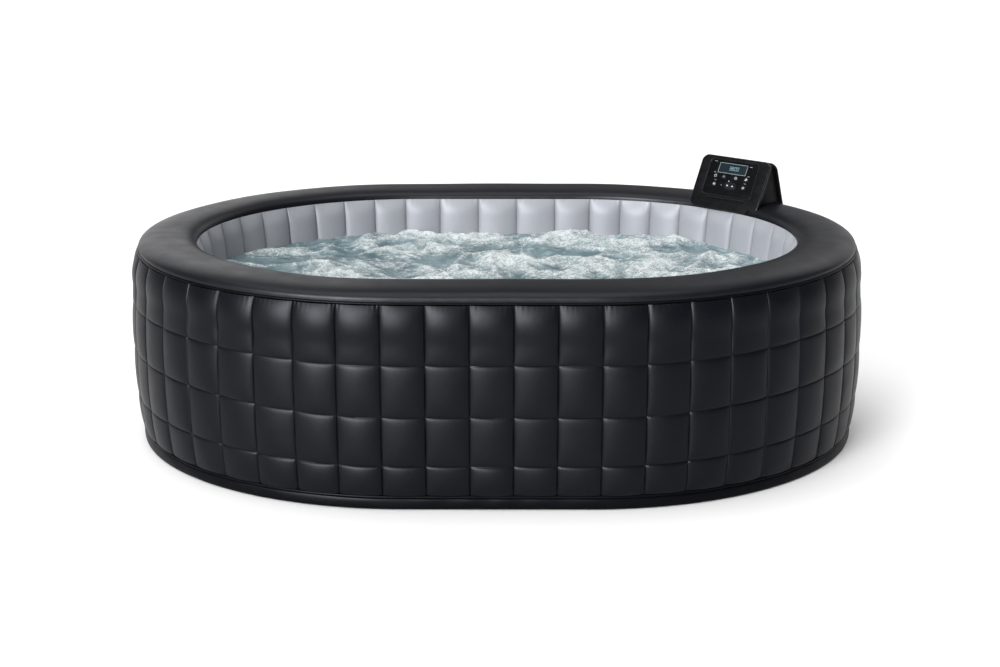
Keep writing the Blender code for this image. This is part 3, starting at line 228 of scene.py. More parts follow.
class Nodes:
    """Short way to build a node tree."""

    def __init__(self, material):
        self.tree = material.node_tree
        self.shader = self.tree.nodes["Principled BSDF"]
        self.coords = self.tree.nodes.new("ShaderNodeTexCoord").outputs["Object"]

    def link(self, source, target):
        self.tree.links.new(source, target)

    def feed(self, socket, value):
        """Link a source to a socket, or set the socket to a plain value."""
        if hasattr(value, "is_output"):
            self.link(value, socket)
        else:
            socket.default_value = value

    def add(self, kind, **inputs):
        node = self.tree.nodes.new(kind)
        for name, value in inputs.items():
            self.feed(node.inputs[name], value)
        return node

    def noise(self, scale, detail=4.0, roughness=0.5, vector=None):
        look = {"Scale": scale, "Detail": detail, "Roughness": roughness}
        return self.add("ShaderNodeTexNoise", Vector=vector or self.coords, **look).outputs["Fac"]

    def cells(self, scale, feature="F1"):
        node = self.add("ShaderNodeTexVoronoi", Scale=scale, Vector=self.coords)
        node.feature = feature
        return node.outputs["Distance"]

    def span(self, source, low, high, to_low=0.0, to_high=1.0):
        ends = {"From Min": low, "From Max": high, "To Min": to_low, "To Max": to_high}
        return self.add("ShaderNodeMapRange", Value=source, **ends).outputs["Result"]

    def mix(self, factor, first, second):
        node = self.tree.nodes.new("ShaderNodeMix")
        node.data_type = "RGBA"
        for socket, value in ((node.inputs[6], first), (node.inputs[7], second)):
            self.feed(socket, (*value, 1.0) if isinstance(value, tuple) else value)
        self.link(factor, node.inputs[0])
        return node.outputs[2]

    def math(self, operation, first, second):
        node = self.tree.nodes.new("ShaderNodeMath")
        node.operation = operation
        for socket, value in zip(node.inputs, (first, second)):
            self.feed(socket, value)
        return node.outputs[0]

    def bump(self, height, strength, distance, under=None):
        node = self.add("ShaderNodeBump", Strength=strength, Distance=distance, Height=height)
        if under is not None:
            self.link(under, node.inputs["Normal"])
        return node.outputs["Normal"]

    def finish(self, colour, normal, gloss=None):
        """Give the shader its colour, its surface and, if it varies, its gloss."""
        self.link(colour, self.shader.inputs["Base Color"])
        self.link(normal, self.shader.inputs["Normal"])
        if gloss is not None:
            self.link(gloss, self.shader.inputs["Roughness"])

    def painted_edge_highlight(self):
        """How much an edge stands out, from 0 to 1: the mask for painted highlight on edges."""
        geometry = self.tree.nodes.new("ShaderNodeNewGeometry")
        return self.span(geometry.outputs["Pointiness"], 0.50, 0.60)


def new_material(name, roughness, metallic=0.0, specular=0.5):
    material = bpy.data.materials.new(name)
    material.use_nodes = True
    nodes = Nodes(material)
    look = {"Roughness": roughness, "Metallic": metallic, "Specular IOR Level": specular}
    for socket, value in look.items():
        nodes.shader.inputs[socket].default_value = value
    return material, nodes


def vinyl(name, dark, light, roughness, grain, specular):
    """Coated PVC sheet: fine leather grain, slow colour drift and patchy gloss."""
    material, n = new_material(name, roughness, specular=specular)
    drift = n.span(n.noise(3.0, 3.0), 0.3, 0.7)
    fine = n.noise(160.0, 2.0)
    colour = n.mix(n.math("MULTIPLY", drift, fine), dark, light)
    gloss = n.span(n.noise(14.0, 4.0), 0.25, 0.75, roughness - 0.04, roughness + 0.05)
    creases = n.bump(n.noise(38.0, 5.0, 0.55), 0.22, 0.0012)
    n.finish(colour, n.bump(n.cells(620.0), grain, 0.00022, creases), gloss)
    n.shader.inputs["Specular Tint"].default_value = VINYL_SHEEN
    return material


def plastic(name, dark, light, roughness, grain=0.3, specular=0.5, scale=1400.0):
    """Moulded plastic: spark-eroded grain, faint smears in the gloss and paler edges as painted highlight.
    """
    material, n = new_material(name, roughness, specular=specular)
    body = n.mix(n.span(n.noise(9.0, 4.0), 0.3, 0.7), dark, light)
    # paler tone for convex edges: painted highlight
    edge = tuple(min(1.0, value * 1.5 + 0.01) for value in light)
    gloss = n.span(n.noise(28.0, 3.0), 0.3, 0.7, roughness - 0.05, roughness + 0.06)
    n.finish(n.mix(n.painted_edge_highlight(), body, edge), n.bump(n.noise(scale, 2.0), grain, 0.00012), gloss)
    return material


def steel(name):
    """Brushed stainless steel, the strokes along the height."""
    material, n = new_material(name, 0.3, metallic=1.0)
    stretch = n.tree.nodes.new("ShaderNodeMapping")
    n.link(n.coords, stretch.inputs["Vector"])
    stretch.inputs["Scale"].default_value = (1.0, 1.0, 0.03)
    strokes = n.noise(900.0, 3.0, 0.6, stretch.outputs["Vector"])
    colour = n.mix(strokes, (0.46, 0.46, 0.48), (0.68, 0.68, 0.70))
    n.finish(colour, n.bump(strokes, 0.2, 0.0001), n.span(strokes, 0.3, 0.7, 0.22, 0.38))
    return material


def circuit(name):
    """Green solder mask with fine traces."""
    material, n = new_material(name, 0.42)
    traces = n.span(n.cells(160.0, "DISTANCE_TO_EDGE"), 0.04, 0.07)
    n.finish(n.mix(traces, (0.05, 0.26, 0.12), (0.012, 0.12, 0.055)), n.bump(traces, 0.3, 0.0001))
    return material


def foam(name):
    """Closed-cell foam with open cut cells."""
    material, n = new_material(name, 0.9)
    cells = n.cells(420.0)
    n.finish(n.mix(cells, (0.09, 0.10, 0.11), (0.22, 0.23, 0.25)), n.bump(cells, 0.5, 0.0006))
    return material


def glow(name):
    """Lit display bars, a little uneven."""
    material, n = new_material(name, 0.3)
    colour = n.mix(n.noise(300.0), (0.20, 0.33, 0.37), (0.31, 0.46, 0.50))
    n.link(colour, n.shader.inputs["Base Color"])
    n.link(colour, n.shader.inputs["Emission Color"])
    n.shader.inputs["Emission Strength"].default_value = 0.15
    return material


def lace(n, scale, patch, widest):
    """Thin strands of froth, wider where the patch value is high."""
    from_middle = n.math("ABSOLUTE", n.math("SUBTRACT", n.noise(scale, 5.0, 0.62), 0.5), 0.0)
    width = n.span(patch, 0.12, 0.95, 0.0012, widest)
    return n.span(n.math("DIVIDE", from_middle, width), 0.35, 1.10, 1.0, 0.0)


def water(name):
    """Stirred water: teal hollows, milky slopes full of fine bubbles and white froth."""
    material, n = new_material(name, 0.12, specular=0.6)
    froth = n.tree.nodes.new("ShaderNodeAttribute")
    froth.attribute_name = "froth"
    patch = froth.outputs["Fac"]
    tint = n.span(n.noise(9.0, 5.0, 0.6), 0.35, 0.65)
    deep = n.mix(tint, (0.060, 0.112, 0.128), (0.175, 0.250, 0.270))
    milky = n.mix(n.span(patch, 0.10, 0.75), deep, (0.38, 0.445, 0.455))
    strands = n.math("MAXIMUM", lace(n, 26.0, patch, 0.060), lace(n, 74.0, patch, 0.085))
    broken = n.math("MULTIPLY", n.span(patch, 0.70, 1.0), n.span(n.noise(120.0, 4.0, 0.7), 0.36, 0.60))
    white = n.math("MAXIMUM", strands, broken)
    ripple = n.bump(n.noise(52.0, 5.0, 0.6), 0.55, 0.006)
    bubbles = n.bump(n.math("MULTIPLY", n.cells(210.0), white), 0.6, 0.003, ripple)
    n.finish(n.mix(white, milky, (0.60, 0.635, 0.645)), bubbles, n.span(white, 0.0, 1.0, 0.08, 0.55))
    return material


MATERIALS = {name: vinyl(name, *look) for name, look in VINYLS.items()}
MATERIALS.update({name: plastic(name, *look) for name, look in PLASTICS.items()})
MATERIALS.update({
    "foam": foam("foam"),
    "steel": steel("steel"),
    "circuit_board": circuit("circuit_board"),
    "digit_glow": glow("digit_glow"),
    "water": water("water"),
})


# ---- Geometry helpers


def seam_outline():
    """Fine outline of the outer seam, anticlockwise from the middle of the front."""
    turn = 2 * math.pi * (np.arange(FINE_STEPS) + 0.5) / FINE_STEPS - math.pi / 2
    x = np.copysign(HALF_STRAIGHT, np.cos(turn)) + END_REACH * np.cos(turn)
    y = HALF_WIDTH * np.sin(turn)
    x = np.concatenate(((0.0,), x, (0.0,)))
    y = np.concatenate(((-HALF_WIDTH,), y, (-HALF_WIDTH,)))
    along = np.stack((np.diff(x), np.diff(y)), 1)
    length = np.hypot(along[:, 0], along[:, 1])
    run = np.concatenate(((0.0,), np.cumsum(length)))
    direction = along / length[:, None]
    normal = np.stack((direction[:, 1], -direction[:, 0]), 1)
    normal = (normal + np.roll(normal, 1, 0)) / 2
    normal = np.concatenate((normal, normal[:1]))
    return x, y, run, normal


SEAM_X, SEAM_Y, SEAM_RUN, SEAM_NORMAL = seam_outline()
PERIMETER = SEAM_RUN[-1]


def seam_points(run, offset):
    """X and Y at lengths along the seam, moved outwards by the offset."""
    run = np.mod(run, PERIMETER)
    normal_x = np.interp(run, SEAM_RUN, SEAM_NORMAL[:, 0])
    normal_y = np.interp(run, SEAM_RUN, SEAM_NORMAL[:, 1])
    size = np.hypot(normal_x, normal_y)
    x = np.interp(run, SEAM_RUN, SEAM_X) + offset * normal_x / size
    y = np.interp(run, SEAM_RUN, SEAM_Y) + offset * normal_y / size
    return x, y


def polar(radius, turn):
    return radius * math.cos(turn), radius * math.sin(turn)


def smoothstep(low, high, value):
    t = np.clip((value - low) / (high - low), 0.0, 1.0)
    return t * t * (3 - 2 * t)


def face_outwards(mesh, weld=0.0):
    """Turn every face of a closed mesh outwards, after joining points nearer than weld."""
    shape = bmesh.new()
    shape.from_mesh(mesh)
    if weld:
        bmesh.ops.remove_doubles(shape, verts=shape.verts, dist=weld)
    bmesh.ops.recalc_face_normals(shape, faces=shape.faces)
    shape.to_mesh(mesh)
    shape.free()


def put(name, vertices, faces, material, body):
    """A mesh piece in the row frame, riding on a body."""
    mesh = bpy.data.meshes.new(name)
    mesh.from_pydata(vertices, [], faces)
    mesh.update()
    return adopt(bpy.data.objects.new(name, mesh), material, body)


def adopt(item, material, body):
    """Link a piece, give it its material and let it ride on a body."""
    bpy.context.scene.collection.objects.link(item)
    item.data.materials.append(MATERIALS[material])
    item.data.shade_smooth()
    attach(item, body)
    return item


def ring_faces(rows, stations, closed, round_tub=True):
    """Quads of a grid that closes over its section, round the tub, or both."""
    spans = stations if round_tub else stations - 1
    i, j = np.meshgrid(np.arange(rows if closed else rows - 1), np.arange(spans), indexing="ij")
    below, beside = (i + 1) % rows, (j + 1) % stations
    quads = (i * stations + j, below * stations + j, below * stations + beside, i * stations + beside)
    return np.stack(quads, -1).reshape(-1, 4).tolist()


def ring(name, run, offset, height, material, round_tub=True):
    """Rows of offsets and heights swept round the tub, or along part of it with flat ends."""
    x, y = seam_points(run[None, :], offset)
    vertices = np.stack((x, y, height), -1).reshape(-1, 3).tolist()
    rows, stations = x.shape
    faces = ring_faces(rows, stations, True, round_tub)
    if not round_tub:
        faces.append(list(range(0, rows * stations, stations)))
        faces.append(list(range(stations - 1, rows * stations, stations))[::-1])
    return put(name, vertices, faces, material, "tub")


def even_run(stations):
    return PERIMETER * np.arange(stations) / stations


def along_run(section, run):
    """One value per point of a section, repeated for every place along a run."""
    return np.repeat(np.asarray(section)[:, None], len(run), 1)


def cut_for_box(item):
    """Open a ring where the control box stands in it, and close the two cut ends."""
    shape = bmesh.new()
    shape.from_mesh(item.data)
    to_box = CONTROL.inverted()

    def near(point, spare):
        local = to_box @ point
        return abs(local.x) < BOX_HALF + spare and local.y > -0.40

    for side in (-1, 1):
        face_set = [f for f in shape.faces if near(f.calc_center_median(), 0.06)]
        edges = {e for f in face_set for e in f.edges}
        verts = {v for f in face_set for v in f.verts}
        spot = CONTROL @ Vector((side * (BOX_HALF + 0.0008), 0, 0))
        bmesh.ops.bisect_plane(
            shape, geom=[*verts, *edges, *face_set], dist=0.00001,
            plane_co=spot, plane_no=CONTROL.to_3x3() @ Vector((side, 0, 0)),
        )
    gone = [f for f in shape.faces if near(f.calc_center_median(), 0.0008)]
    bmesh.ops.delete(shape, geom=gone, context="FACES")
    rim = [e for e in shape.edges if e.is_boundary]
    bmesh.ops.holes_fill(shape, edges=rim, sides=0)
    shape.to_mesh(item.data)
    shape.free()
    item.data.shade_smooth()
    item.data.set_sharp_from_angle(angle=math.radians(60))


def rounded(points, radius, steps=3):
    """A profile with its inner corners rounded off."""
    out = [points[0]]
    for before, corner, after in zip(points, points[1:], points[2:]):
        a, b, c = (Vector(p).to_2d() for p in (before, corner, after))
        reach = min(radius, (a - b).length * 0.45, (c - b).length * 0.45)
        start, end = b + (a - b).normalized() * reach, b + (c - b).normalized() * reach
        for step in range(steps + 1):
            t = step / steps
            out.append(tuple(start * (1 - t) ** 2 + b * 2 * t * (1 - t) + end * t ** 2))
    out.append(points[-1])
    return out


def lathe(name, profile, place, material, body, sides=48, closed=False, edge=0.0008, squash=None):
    """A turned piece: a profile of (radius, height), outer side downwards, with soft edges."""
    points = rounded(profile + profile[:2], edge)[1:-1] if closed else rounded(profile, edge)
    vertices, rows = [], []
    for radius, height in points:
        if radius < 1e-6:
            rows.append([len(vertices)] * sides)
            vertices.append(place @ Vector((0, 0, height)))
            continue
        row = []
        for side in range(sides):
            turn = 2 * math.pi * side / sides
            reach = radius * (squash(turn, radius) if squash else 1.0)
            row.append(len(vertices))
            vertices.append(place @ Vector((*polar(reach, turn), height)))
        rows.append(row)
    faces = []
    for upper, lower in zip(rows, rows[1:] + (rows[:1] if closed else [])):
        for side in range(sides):
            after = (side + 1) % sides
            quad = [upper[side], lower[side], lower[after], upper[after]]
            face = list(dict.fromkeys(quad))
            if len(face) > 2:
                faces.append(face)
    item = put(name, vertices, faces, material, body)
    item.data.set_sharp_from_angle(angle=math.radians(50))
    return item


def box_outline(low, high, radius, steps=8):
    """A rectangle with round corners, anticlockwise."""
    corners = (
        (high[0] - radius, high[1] - radius, 0),
        (low[0] + radius, high[1] - radius, 90),
        (low[0] + radius, low[1] + radius, 180),
        (high[0] - radius, low[1] + radius, 270),
    )
    points = []
    for x, y, start in corners:
        for step in range(steps + 1):
            turn = math.radians(start + 90 * step / steps)
            points.append((x + radius * math.cos(turn), y + radius * math.sin(turn)))
    return points


def stand_off(low, high, spare, radius, steps=8):
    """A rectangle with round corners that stands off another by some spare."""
    return box_outline(
        (low[0] - spare, low[1] - spare), (high[0] + spare, high[1] + spare), radius, steps,
    )


def disc_outline(x, y, radius, sides=32):
    turns = [2 * math.pi * side / sides for side in range(sides)]
    return [(x + radius * math.cos(turn), y + radius * math.sin(turn)) for turn in turns]


def plaque(name, outlines, low, high, place, material, body, edge=0.001):
    """A flat piece between two heights of a frame, with rounded edges; later outlines are holes."""
    curve = bpy.data.curves.new(name, "CURVE")
    curve.dimensions = "2D"
    curve.fill_mode = "BOTH"
    for outline in outlines:
        spline = curve.splines.new("POLY")
        spline.points.add(len(outline) - 1)
        for target, (x, y) in zip(spline.points, outline):
            target.co = (x, y, 0.0, 1.0)
        spline.use_cyclic_u = True
    edge = min(edge, (high - low) / 2 * 0.98)
    curve.extrude = (high - low) / 2 - edge
    curve.bevel_depth = edge
    curve.bevel_resolution = 3
    curve.offset = -edge
    drawn = bpy.data.objects.new(name + "_outline", curve)
    bpy.context.scene.collection.objects.link(drawn)
    bpy.context.view_layer.update()
    seen = drawn.evaluated_get(bpy.context.evaluated_depsgraph_get())
    mesh = bpy.data.meshes.new_from_object(seen)
    bpy.data.objects.remove(drawn, do_unlink=True)
    face_outwards(mesh, 0.000005)
    mesh.transform(place @ Matrix.Translation((0, 0, (low + high) / 2)))
    item = adopt(bpy.data.objects.new(name, mesh), material, body)
    mesh.set_sharp_from_angle(angle=math.radians(40))
    return item


def face_plaque(name, outlines, low, high, material, edge):
    """A plaque on the console's face."""
    return plaque(name, outlines, low, high, FACE, material, "tub", edge)


SEAM_AT = (
    HALF_STRAIGHT + END_REACH * math.cos(CONTROL_PARAMETER),
    HALF_WIDTH * math.sin(CONTROL_PARAMETER),
)
CONTROL = Matrix.Translation((*SEAM_AT, 0)) @ Matrix.Rotation(CONTROL_TURN, 4, "Z")
FACE = CONTROL @ Matrix.Translation(SLAB_FOOT) @ Matrix.Rotation(SLAB_LEAN, 4, "X")
LEG_FACE = CONTROL @ Matrix.Translation(LEG_FOOT) @ Matrix.Rotation(LEG_LEAN, 4, "X")
ACROSS = CONTROL @ Matrix(((0, 0, 1, 0), (1, 0, 0, 0), (0, 1, 0, 0), (0, 0, 0, 1)))
BACK = Matrix.Translation((0, HALF_WIDTH, 0))


# ---- Inflated walls


def spread(count):
    """Steps from 0 up to 1, closer together near both ends, without the last one."""
    return 0.5 - 0.5 * np.cos(np.pi * np.arange(count) / count)


def flat_patch(run, height, offset, spot, reach):
    """Press the wall flat where a fitting is welded to it."""
    x, outward, z = spot
    along = np.abs(np.mod(run, PERIMETER) - (PERIMETER / 2 - x))
    distance = np.hypot(along, height - z)
    press = 1 - smoothstep(reach, reach + FITTING_BLEND, distance)
    return offset * (1 - press) + np.minimum(offset, outward) * press


def make_outer_wall():
    """Quilted wall: rounded cells between welded seams, gathered where they meet the rim."""
    column = COLUMN_SHIFT + PERIMETER / COLUMNS * (np.arange(COLUMNS)[:, None] - 0.5 + spread(COLUMN_STEPS))
    run = column.reshape(-1)
    u = np.tile(spread(COLUMN_STEPS), COLUMNS)
    cell = np.repeat(np.arange(COLUMNS), COLUMN_STEPS)
    x, _ = seam_points(run, 0.0)
    end = smoothstep(END_FROM, END_TO, np.abs(x))

    rows = len(ROW_HEIGHTS) - 1
    v = np.concatenate([row + spread(ROW_STEPS) for row in range(rows)] + [[rows]])
    row = np.minimum(v.astype(int), rows - 1)
    part = v - row
    tops = ROW_HEIGHTS[:, None] + ROW_RISE[:, None] * end[None, :]
    height = tops[row] + (tops[row + 1] - tops[row]) * part[:, None]
    level = ROW_OFFSETS[row] + (ROW_OFFSETS[row + 1] - ROW_OFFSETS[row]) * part
    shoulder = np.where(row == 0, SHOULDER * np.sin(np.pi * np.minimum(part * 1.6, 1.0)), 0.0)
    wider = END_SWELL * end[None, :] * np.sin(np.pi * (v / rows) * 0.92 + 0.12)[:, None]

    fullness = 1 + UNEVEN_BULGE * DICE.standard_normal((rows, COLUMNS))
    lean = UNEVEN_LEAN * DICE.standard_normal((rows, COLUMNS))
    full = fullness[row][:, cell]
    side, level_side = np.abs(2 * u - 1), np.abs(2 * part - 1)
    across = 1 - 0.72 * side ** 2 - 0.28 * side ** 9
    down = 1 - 0.75 * level_side ** 2.2 - 0.25 * level_side ** 9
    skewed = across[None, :] * (1 + lean[row][:, cell] * (u - 0.5)[None, :])
    bulge = CELL_BULGE * full * skewed * (0.55 + 0.45 * down[:, None]) * (1 - 0.45 * end)
    bulge += ROW_BULGE * down[:, None]

    phase = DICE.uniform(0, 2 * math.pi, COLUMNS)[cell]
    pitch = DICE.uniform(7.0, 9.5, COLUMNS)[cell]
    strength = 0.6 + 0.4 * np.sin(u * 9.0 + phase)
    from_rim = tops[0] - height
    from_base = height - tops[-1]
    gathers = np.sin(2 * math.pi * pitch * u + phase + 30 * from_rim) * strength
    folds = RIM_GATHER * gathers * np.exp(-from_rim / RIM_GATHER_REACH)
    folds += BASE_GATHER * gathers * np.exp(-from_base / BASE_GATHER_REACH)
    from_seam = np.minimum(part, 1 - part)[:, None] * np.abs(tops[row] - tops[row + 1])
    rippled = np.sin(2 * math.pi * (pitch + 3) * u - phase)
    folds += ROW_GATHER * rippled * np.exp(-from_seam / ROW_GATHER_REACH)
    from_side = np.minimum(u, 1 - u)[None, :] * PERIMETER / COLUMNS
    folds += SIDE_GATHER * np.sin(height * 420 + phase) * np.exp(-from_side / SIDE_GATHER_REACH)
    between_rows = (from_rim > 0.01) * (from_base > 0.01)
    weld = WELD_DEPTH * np.exp(-(from_seam / WELD_HALF) ** 2) * between_rows
    crease = CREASE_DEPTH * np.exp(-(from_side / CREASE_HALF) ** 2)

    offset = level[:, None] + shoulder[:, None] + wider + bulge + folds - np.maximum(weld, crease)
    offset = flat_patch(run, height, offset, (VALVE_SPOT[0], 0.0285, VALVE_SPOT[2]), 0.033)
    offset = flat_patch(run, height, offset, (DRAIN_SPOT[0], 0.0235, DRAIN_SPOT[2]), 0.027)
    back = np.stack([height[-1], height[len(v) // 2], height[0]])
    behind = np.array((ROW_OFFSETS[-1], ROW_OFFSETS[2], ROW_OFFSETS[0]))[:, None] - WALL_THICKNESS
    offset = np.concatenate((offset, np.broadcast_to(behind - 0.002, back.shape)))
    height = np.concatenate((height, back))
    wall = ring("quilted_wall", run, offset, height, "black_vinyl")
    cut_for_box(wall)
    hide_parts("outer_wall")


def rim_arch(thickness):
    """The rim's section from its inner edge over the top to its outer edge."""
    turn = np.pi * (1 - np.arange(RIM_STEPS + 1) / RIM_STEPS)
    across = np.copysign(np.abs(np.cos(turn)) ** RIM_CURL, np.cos(turn))
    seam = np.where(across < 0, INNER_SEAM_Z, OUTER_SEAM_Z + 0.0045)
    rise = (RIM_TOP - thickness - seam) * np.sin(turn) ** RIM_CURL
    offset = (RIM_WIDTH / 2 - thickness) * across - RIM_WIDTH / 2
    return offset, seam + rise


def make_rim():
    """Smooth air-filled rim, with faint gathers where it is welded to the walls."""
    run = even_run(RIM_STATIONS)
    offset, height = rim_arch(0.0)
    edge = np.minimum(np.arange(RIM_STEPS + 1), RIM_STEPS - np.arange(RIM_STEPS + 1)) / RIM_STEPS
    slow = np.sin(run * 5.1) + np.sin(run * 8.3 + 1.0) + np.sin(run * 13.7 + 2.0)
    quick = np.sin(run * 2 * math.pi / RIM_PUCKER_PITCH + 2 * np.sin(run * 3.0))
    swell = RIM_SWELL * slow[None, :] * np.sin(np.pi * edge)[:, None]
    pucker = RIM_PUCKER * quick[None, :] * np.exp(-edge / 0.05)[:, None]
    heights = height[:, None] + (swell + pucker * 0.4)
    offsets = offset[:, None] + pucker * np.sign(offset + RIM_WIDTH / 2)[:, None]
    inner_offset, inner_height = rim_arch(0.002)
    pick = slice(None, None, -4)
    offsets = np.concatenate((offsets, along_run(inner_offset[pick], run)))
    heights = np.concatenate((heights, along_run(inner_height[pick], run)))
    rim = ring("rim_tube", run, offsets, heights, "rim_vinyl")
    cut_for_box(rim)
    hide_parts("rim_ring")


def make_welt(name, node, offset, height, radius, cut):
    """A round piping cord welded into a seam, with its flat tongue behind."""
    turn = np.linspace(math.pi * 0.75, -math.pi * 0.75, 11)
    section_x = np.concatenate((radius * np.cos(turn), (-radius * 2.2, -radius * 2.2)))
    section_z = np.concatenate((radius * np.sin(turn), (-radius * 0.4, radius * 0.4)))
    run = even_run(RIM_STATIONS)
    wave = 0.0003 * np.sin(run * 31.0) + 0.0002 * np.sin(run * 57.0)
    offsets = offset + section_x[:, None] + wave[None, :]
    heights = height + along_run(section_z, run)
    # the cord takes the darkest sheet; at the rim seam this darker cord is painted shade for the dark
    # groove under the rim
    welt = ring(name, run, offsets, heights, "ground_sheet")
    if cut:
        cut_for_box(welt)
    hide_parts(node)


def make_skirt():
    """Smooth band under the quilted wall, down to the ground sheet."""
    points = np.array(rounded(FOOT_SECTION, 0.003, 2)[:-1])
    run = even_run(RIM_STATIONS)
    offsets, heights = along_run(points[:, 0], run), along_run(points[:, 1], run)
    raised = smoothstep(0.004, 0.03, heights)
    offsets = offsets + 0.0007 * np.sin(run * 41 + 3 * np.sin(run * 7))[None, :] * raised
    ring("foot_band", run, offsets, heights, "ground_sheet")


def rib_face(run, height):
    """Offset of the ribbed inner wall's face."""
    u = np.mod(run / PERIMETER * RIBS + 0.5, 1.0)
    straight = np.interp(height, INNER_HEIGHTS, INNER_FACE)
    side = np.abs(2 * u - 1)
    across = 1 - 0.7 * side ** 2 - 0.3 * side ** 9
    top = smoothstep(0.0, 0.050, INNER_WALL_HIGH + 0.001 - height)
    amount = RIB_BULGE * smoothstep(0.08, 0.34, height) * (0.10 + 0.90 * top ** 0.6)
    weld = np.exp(-(np.minimum(u, 1 - u) * PERIMETER / RIBS / 0.0015) ** 2)
    return straight - amount * across + 0.0025 * weld * (height > 0.09)


def make_inner_wall():
    """Light inner wall with rounded upright ribs between welded lines."""
    rib = PERIMETER / RIBS * (np.arange(RIBS)[:, None] - 0.5 + spread(RIB_STEPS))
    run = rib.reshape(-1)
    low, high = INNER_WALL_LOW, INNER_WALL_HIGH
    t = np.concatenate((np.linspace(0, 0.62, 12, endpoint=False), 1 - 0.38 * (1 - spread(24)), [1.0]))
    height = low + (high - low) * t[::-1]
    heights = along_run(height, run)
    offsets = rib_face(run[None, :], heights)
    u = np.tile(spread(RIB_STEPS), RIBS)
    pucker = 0.0006 * np.sin(2 * math.pi * 6 * u + np.repeat(np.arange(RIBS) * 1.7, RIB_STEPS))
    offsets = offsets + pucker[None, :] * np.exp(-(high - heights) / 0.014)
    offsets = np.concatenate((offsets, along_run(INNER_BACK, run)))
    heights = np.concatenate((heights, along_run(INNER_HEIGHTS, run)))
    wall = ring("ribbed_wall", run, offsets, heights, "grey_vinyl")
    wall.data.flip_normals()
    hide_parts("inner_wall")


def wave_height(x, y):
    """Height and froth of the stirred water at one place."""
    px = x + 0.10 * noise.noise(Vector((x * 2.2, y * 2.2, 4.0)))
    py = y + 0.10 * noise.noise(Vector((x * 2.2, y * 2.2, 34.0)))
    broad = noise.noise(Vector((px * BROAD_RATE, py * BROAD_RATE, 1.0)))
    chop = 1 - abs(noise.noise(Vector((px * CHOP_RATE, py * CHOP_RATE, 7.0)))) * 2.2
    peak = 1 - abs(noise.noise(Vector((px * PEAK_RATE, py * PEAK_RATE, 9.0)))) * 2.0
    fizz = noise.noise(Vector((x * FIZZ_RATE, y * FIZZ_RATE, 3.0)))
    spit = noise.noise(Vector((x * SPIT_RATE, y * SPIT_RATE, 5.0)))
    patch = noise.noise(Vector((px * 4.6, py * 7.0, 23.0)))
    calm = min(1.0, max(0.0, (-0.25 - x) / 0.55))
    boil = max(0.0, 0.50 + 0.95 * patch + 0.30 * broad - 0.40 * calm)
    height = BROAD_WAVE * broad + CHOP_WAVE * chop * (0.5 + 0.6 * boil)
    height += PEAK_WAVE * peak * (0.35 + boil) + FIZZ_WAVE * fizz * (0.3 + boil) + SPIT_WAVE * spit * boil
    froth = 0.60 * boil + 0.55 * max(0.0, chop - 0.45) + 0.40 * max(0.0, peak - 0.50)
    return height - WATER_SINK, min(1.0, max(0.0, froth - 0.12 + 0.22 * fizz))


def make_water():
    """The stirred water that fills the tub, from wall to wall."""
    run = even_run(WATER_STATIONS)
    edge = rib_face(run, np.full(len(run), WATER_LEVEL)) + 0.001
    edge_x, edge_y = seam_points(run, edge)
    share = np.linspace(1.0, 0.02, WATER_RINGS)
    x, y = share[:, None] * edge_x, share[:, None] * edge_y
    flat = [wave_height(a, b) for a, b in zip(x.reshape(-1), y.reshape(-1))]
    flat = np.array(flat).reshape(*x.shape, 2)
    settle = smoothstep(0.0, 0.03, 1 - share)[:, None] * 0.6 + 0.4
    z = WATER_LEVEL + flat[..., 0] * settle
    froth = flat[..., 1]
    x, y = np.vstack((edge_x, x)), np.vstack((edge_y, y))
    z = np.vstack((np.full(len(run), WATER_BOTTOM), z))
    froth = np.vstack((froth[:1] * 0, froth))
    vertices = np.stack((x, y, z), -1).reshape(-1, 3).tolist()
    rows, stations = x.shape
    faces = [face[::-1] for face in ring_faces(rows, stations, False)]
    faces.append(list(range(stations)))
    faces.append(list(range((rows - 1) * stations, rows * stations)))
    item = put("stirred_water", vertices, faces, "water", "tub")
    face_outwards(item.data)
    layer = item.data.attributes.new("froth", "FLOAT", "POINT")
    layer.data.foreach_set("value", froth.reshape(-1).astype(np.float32))
    item.data.set_sharp_from_angle(angle=math.radians(80))


# ---- Console


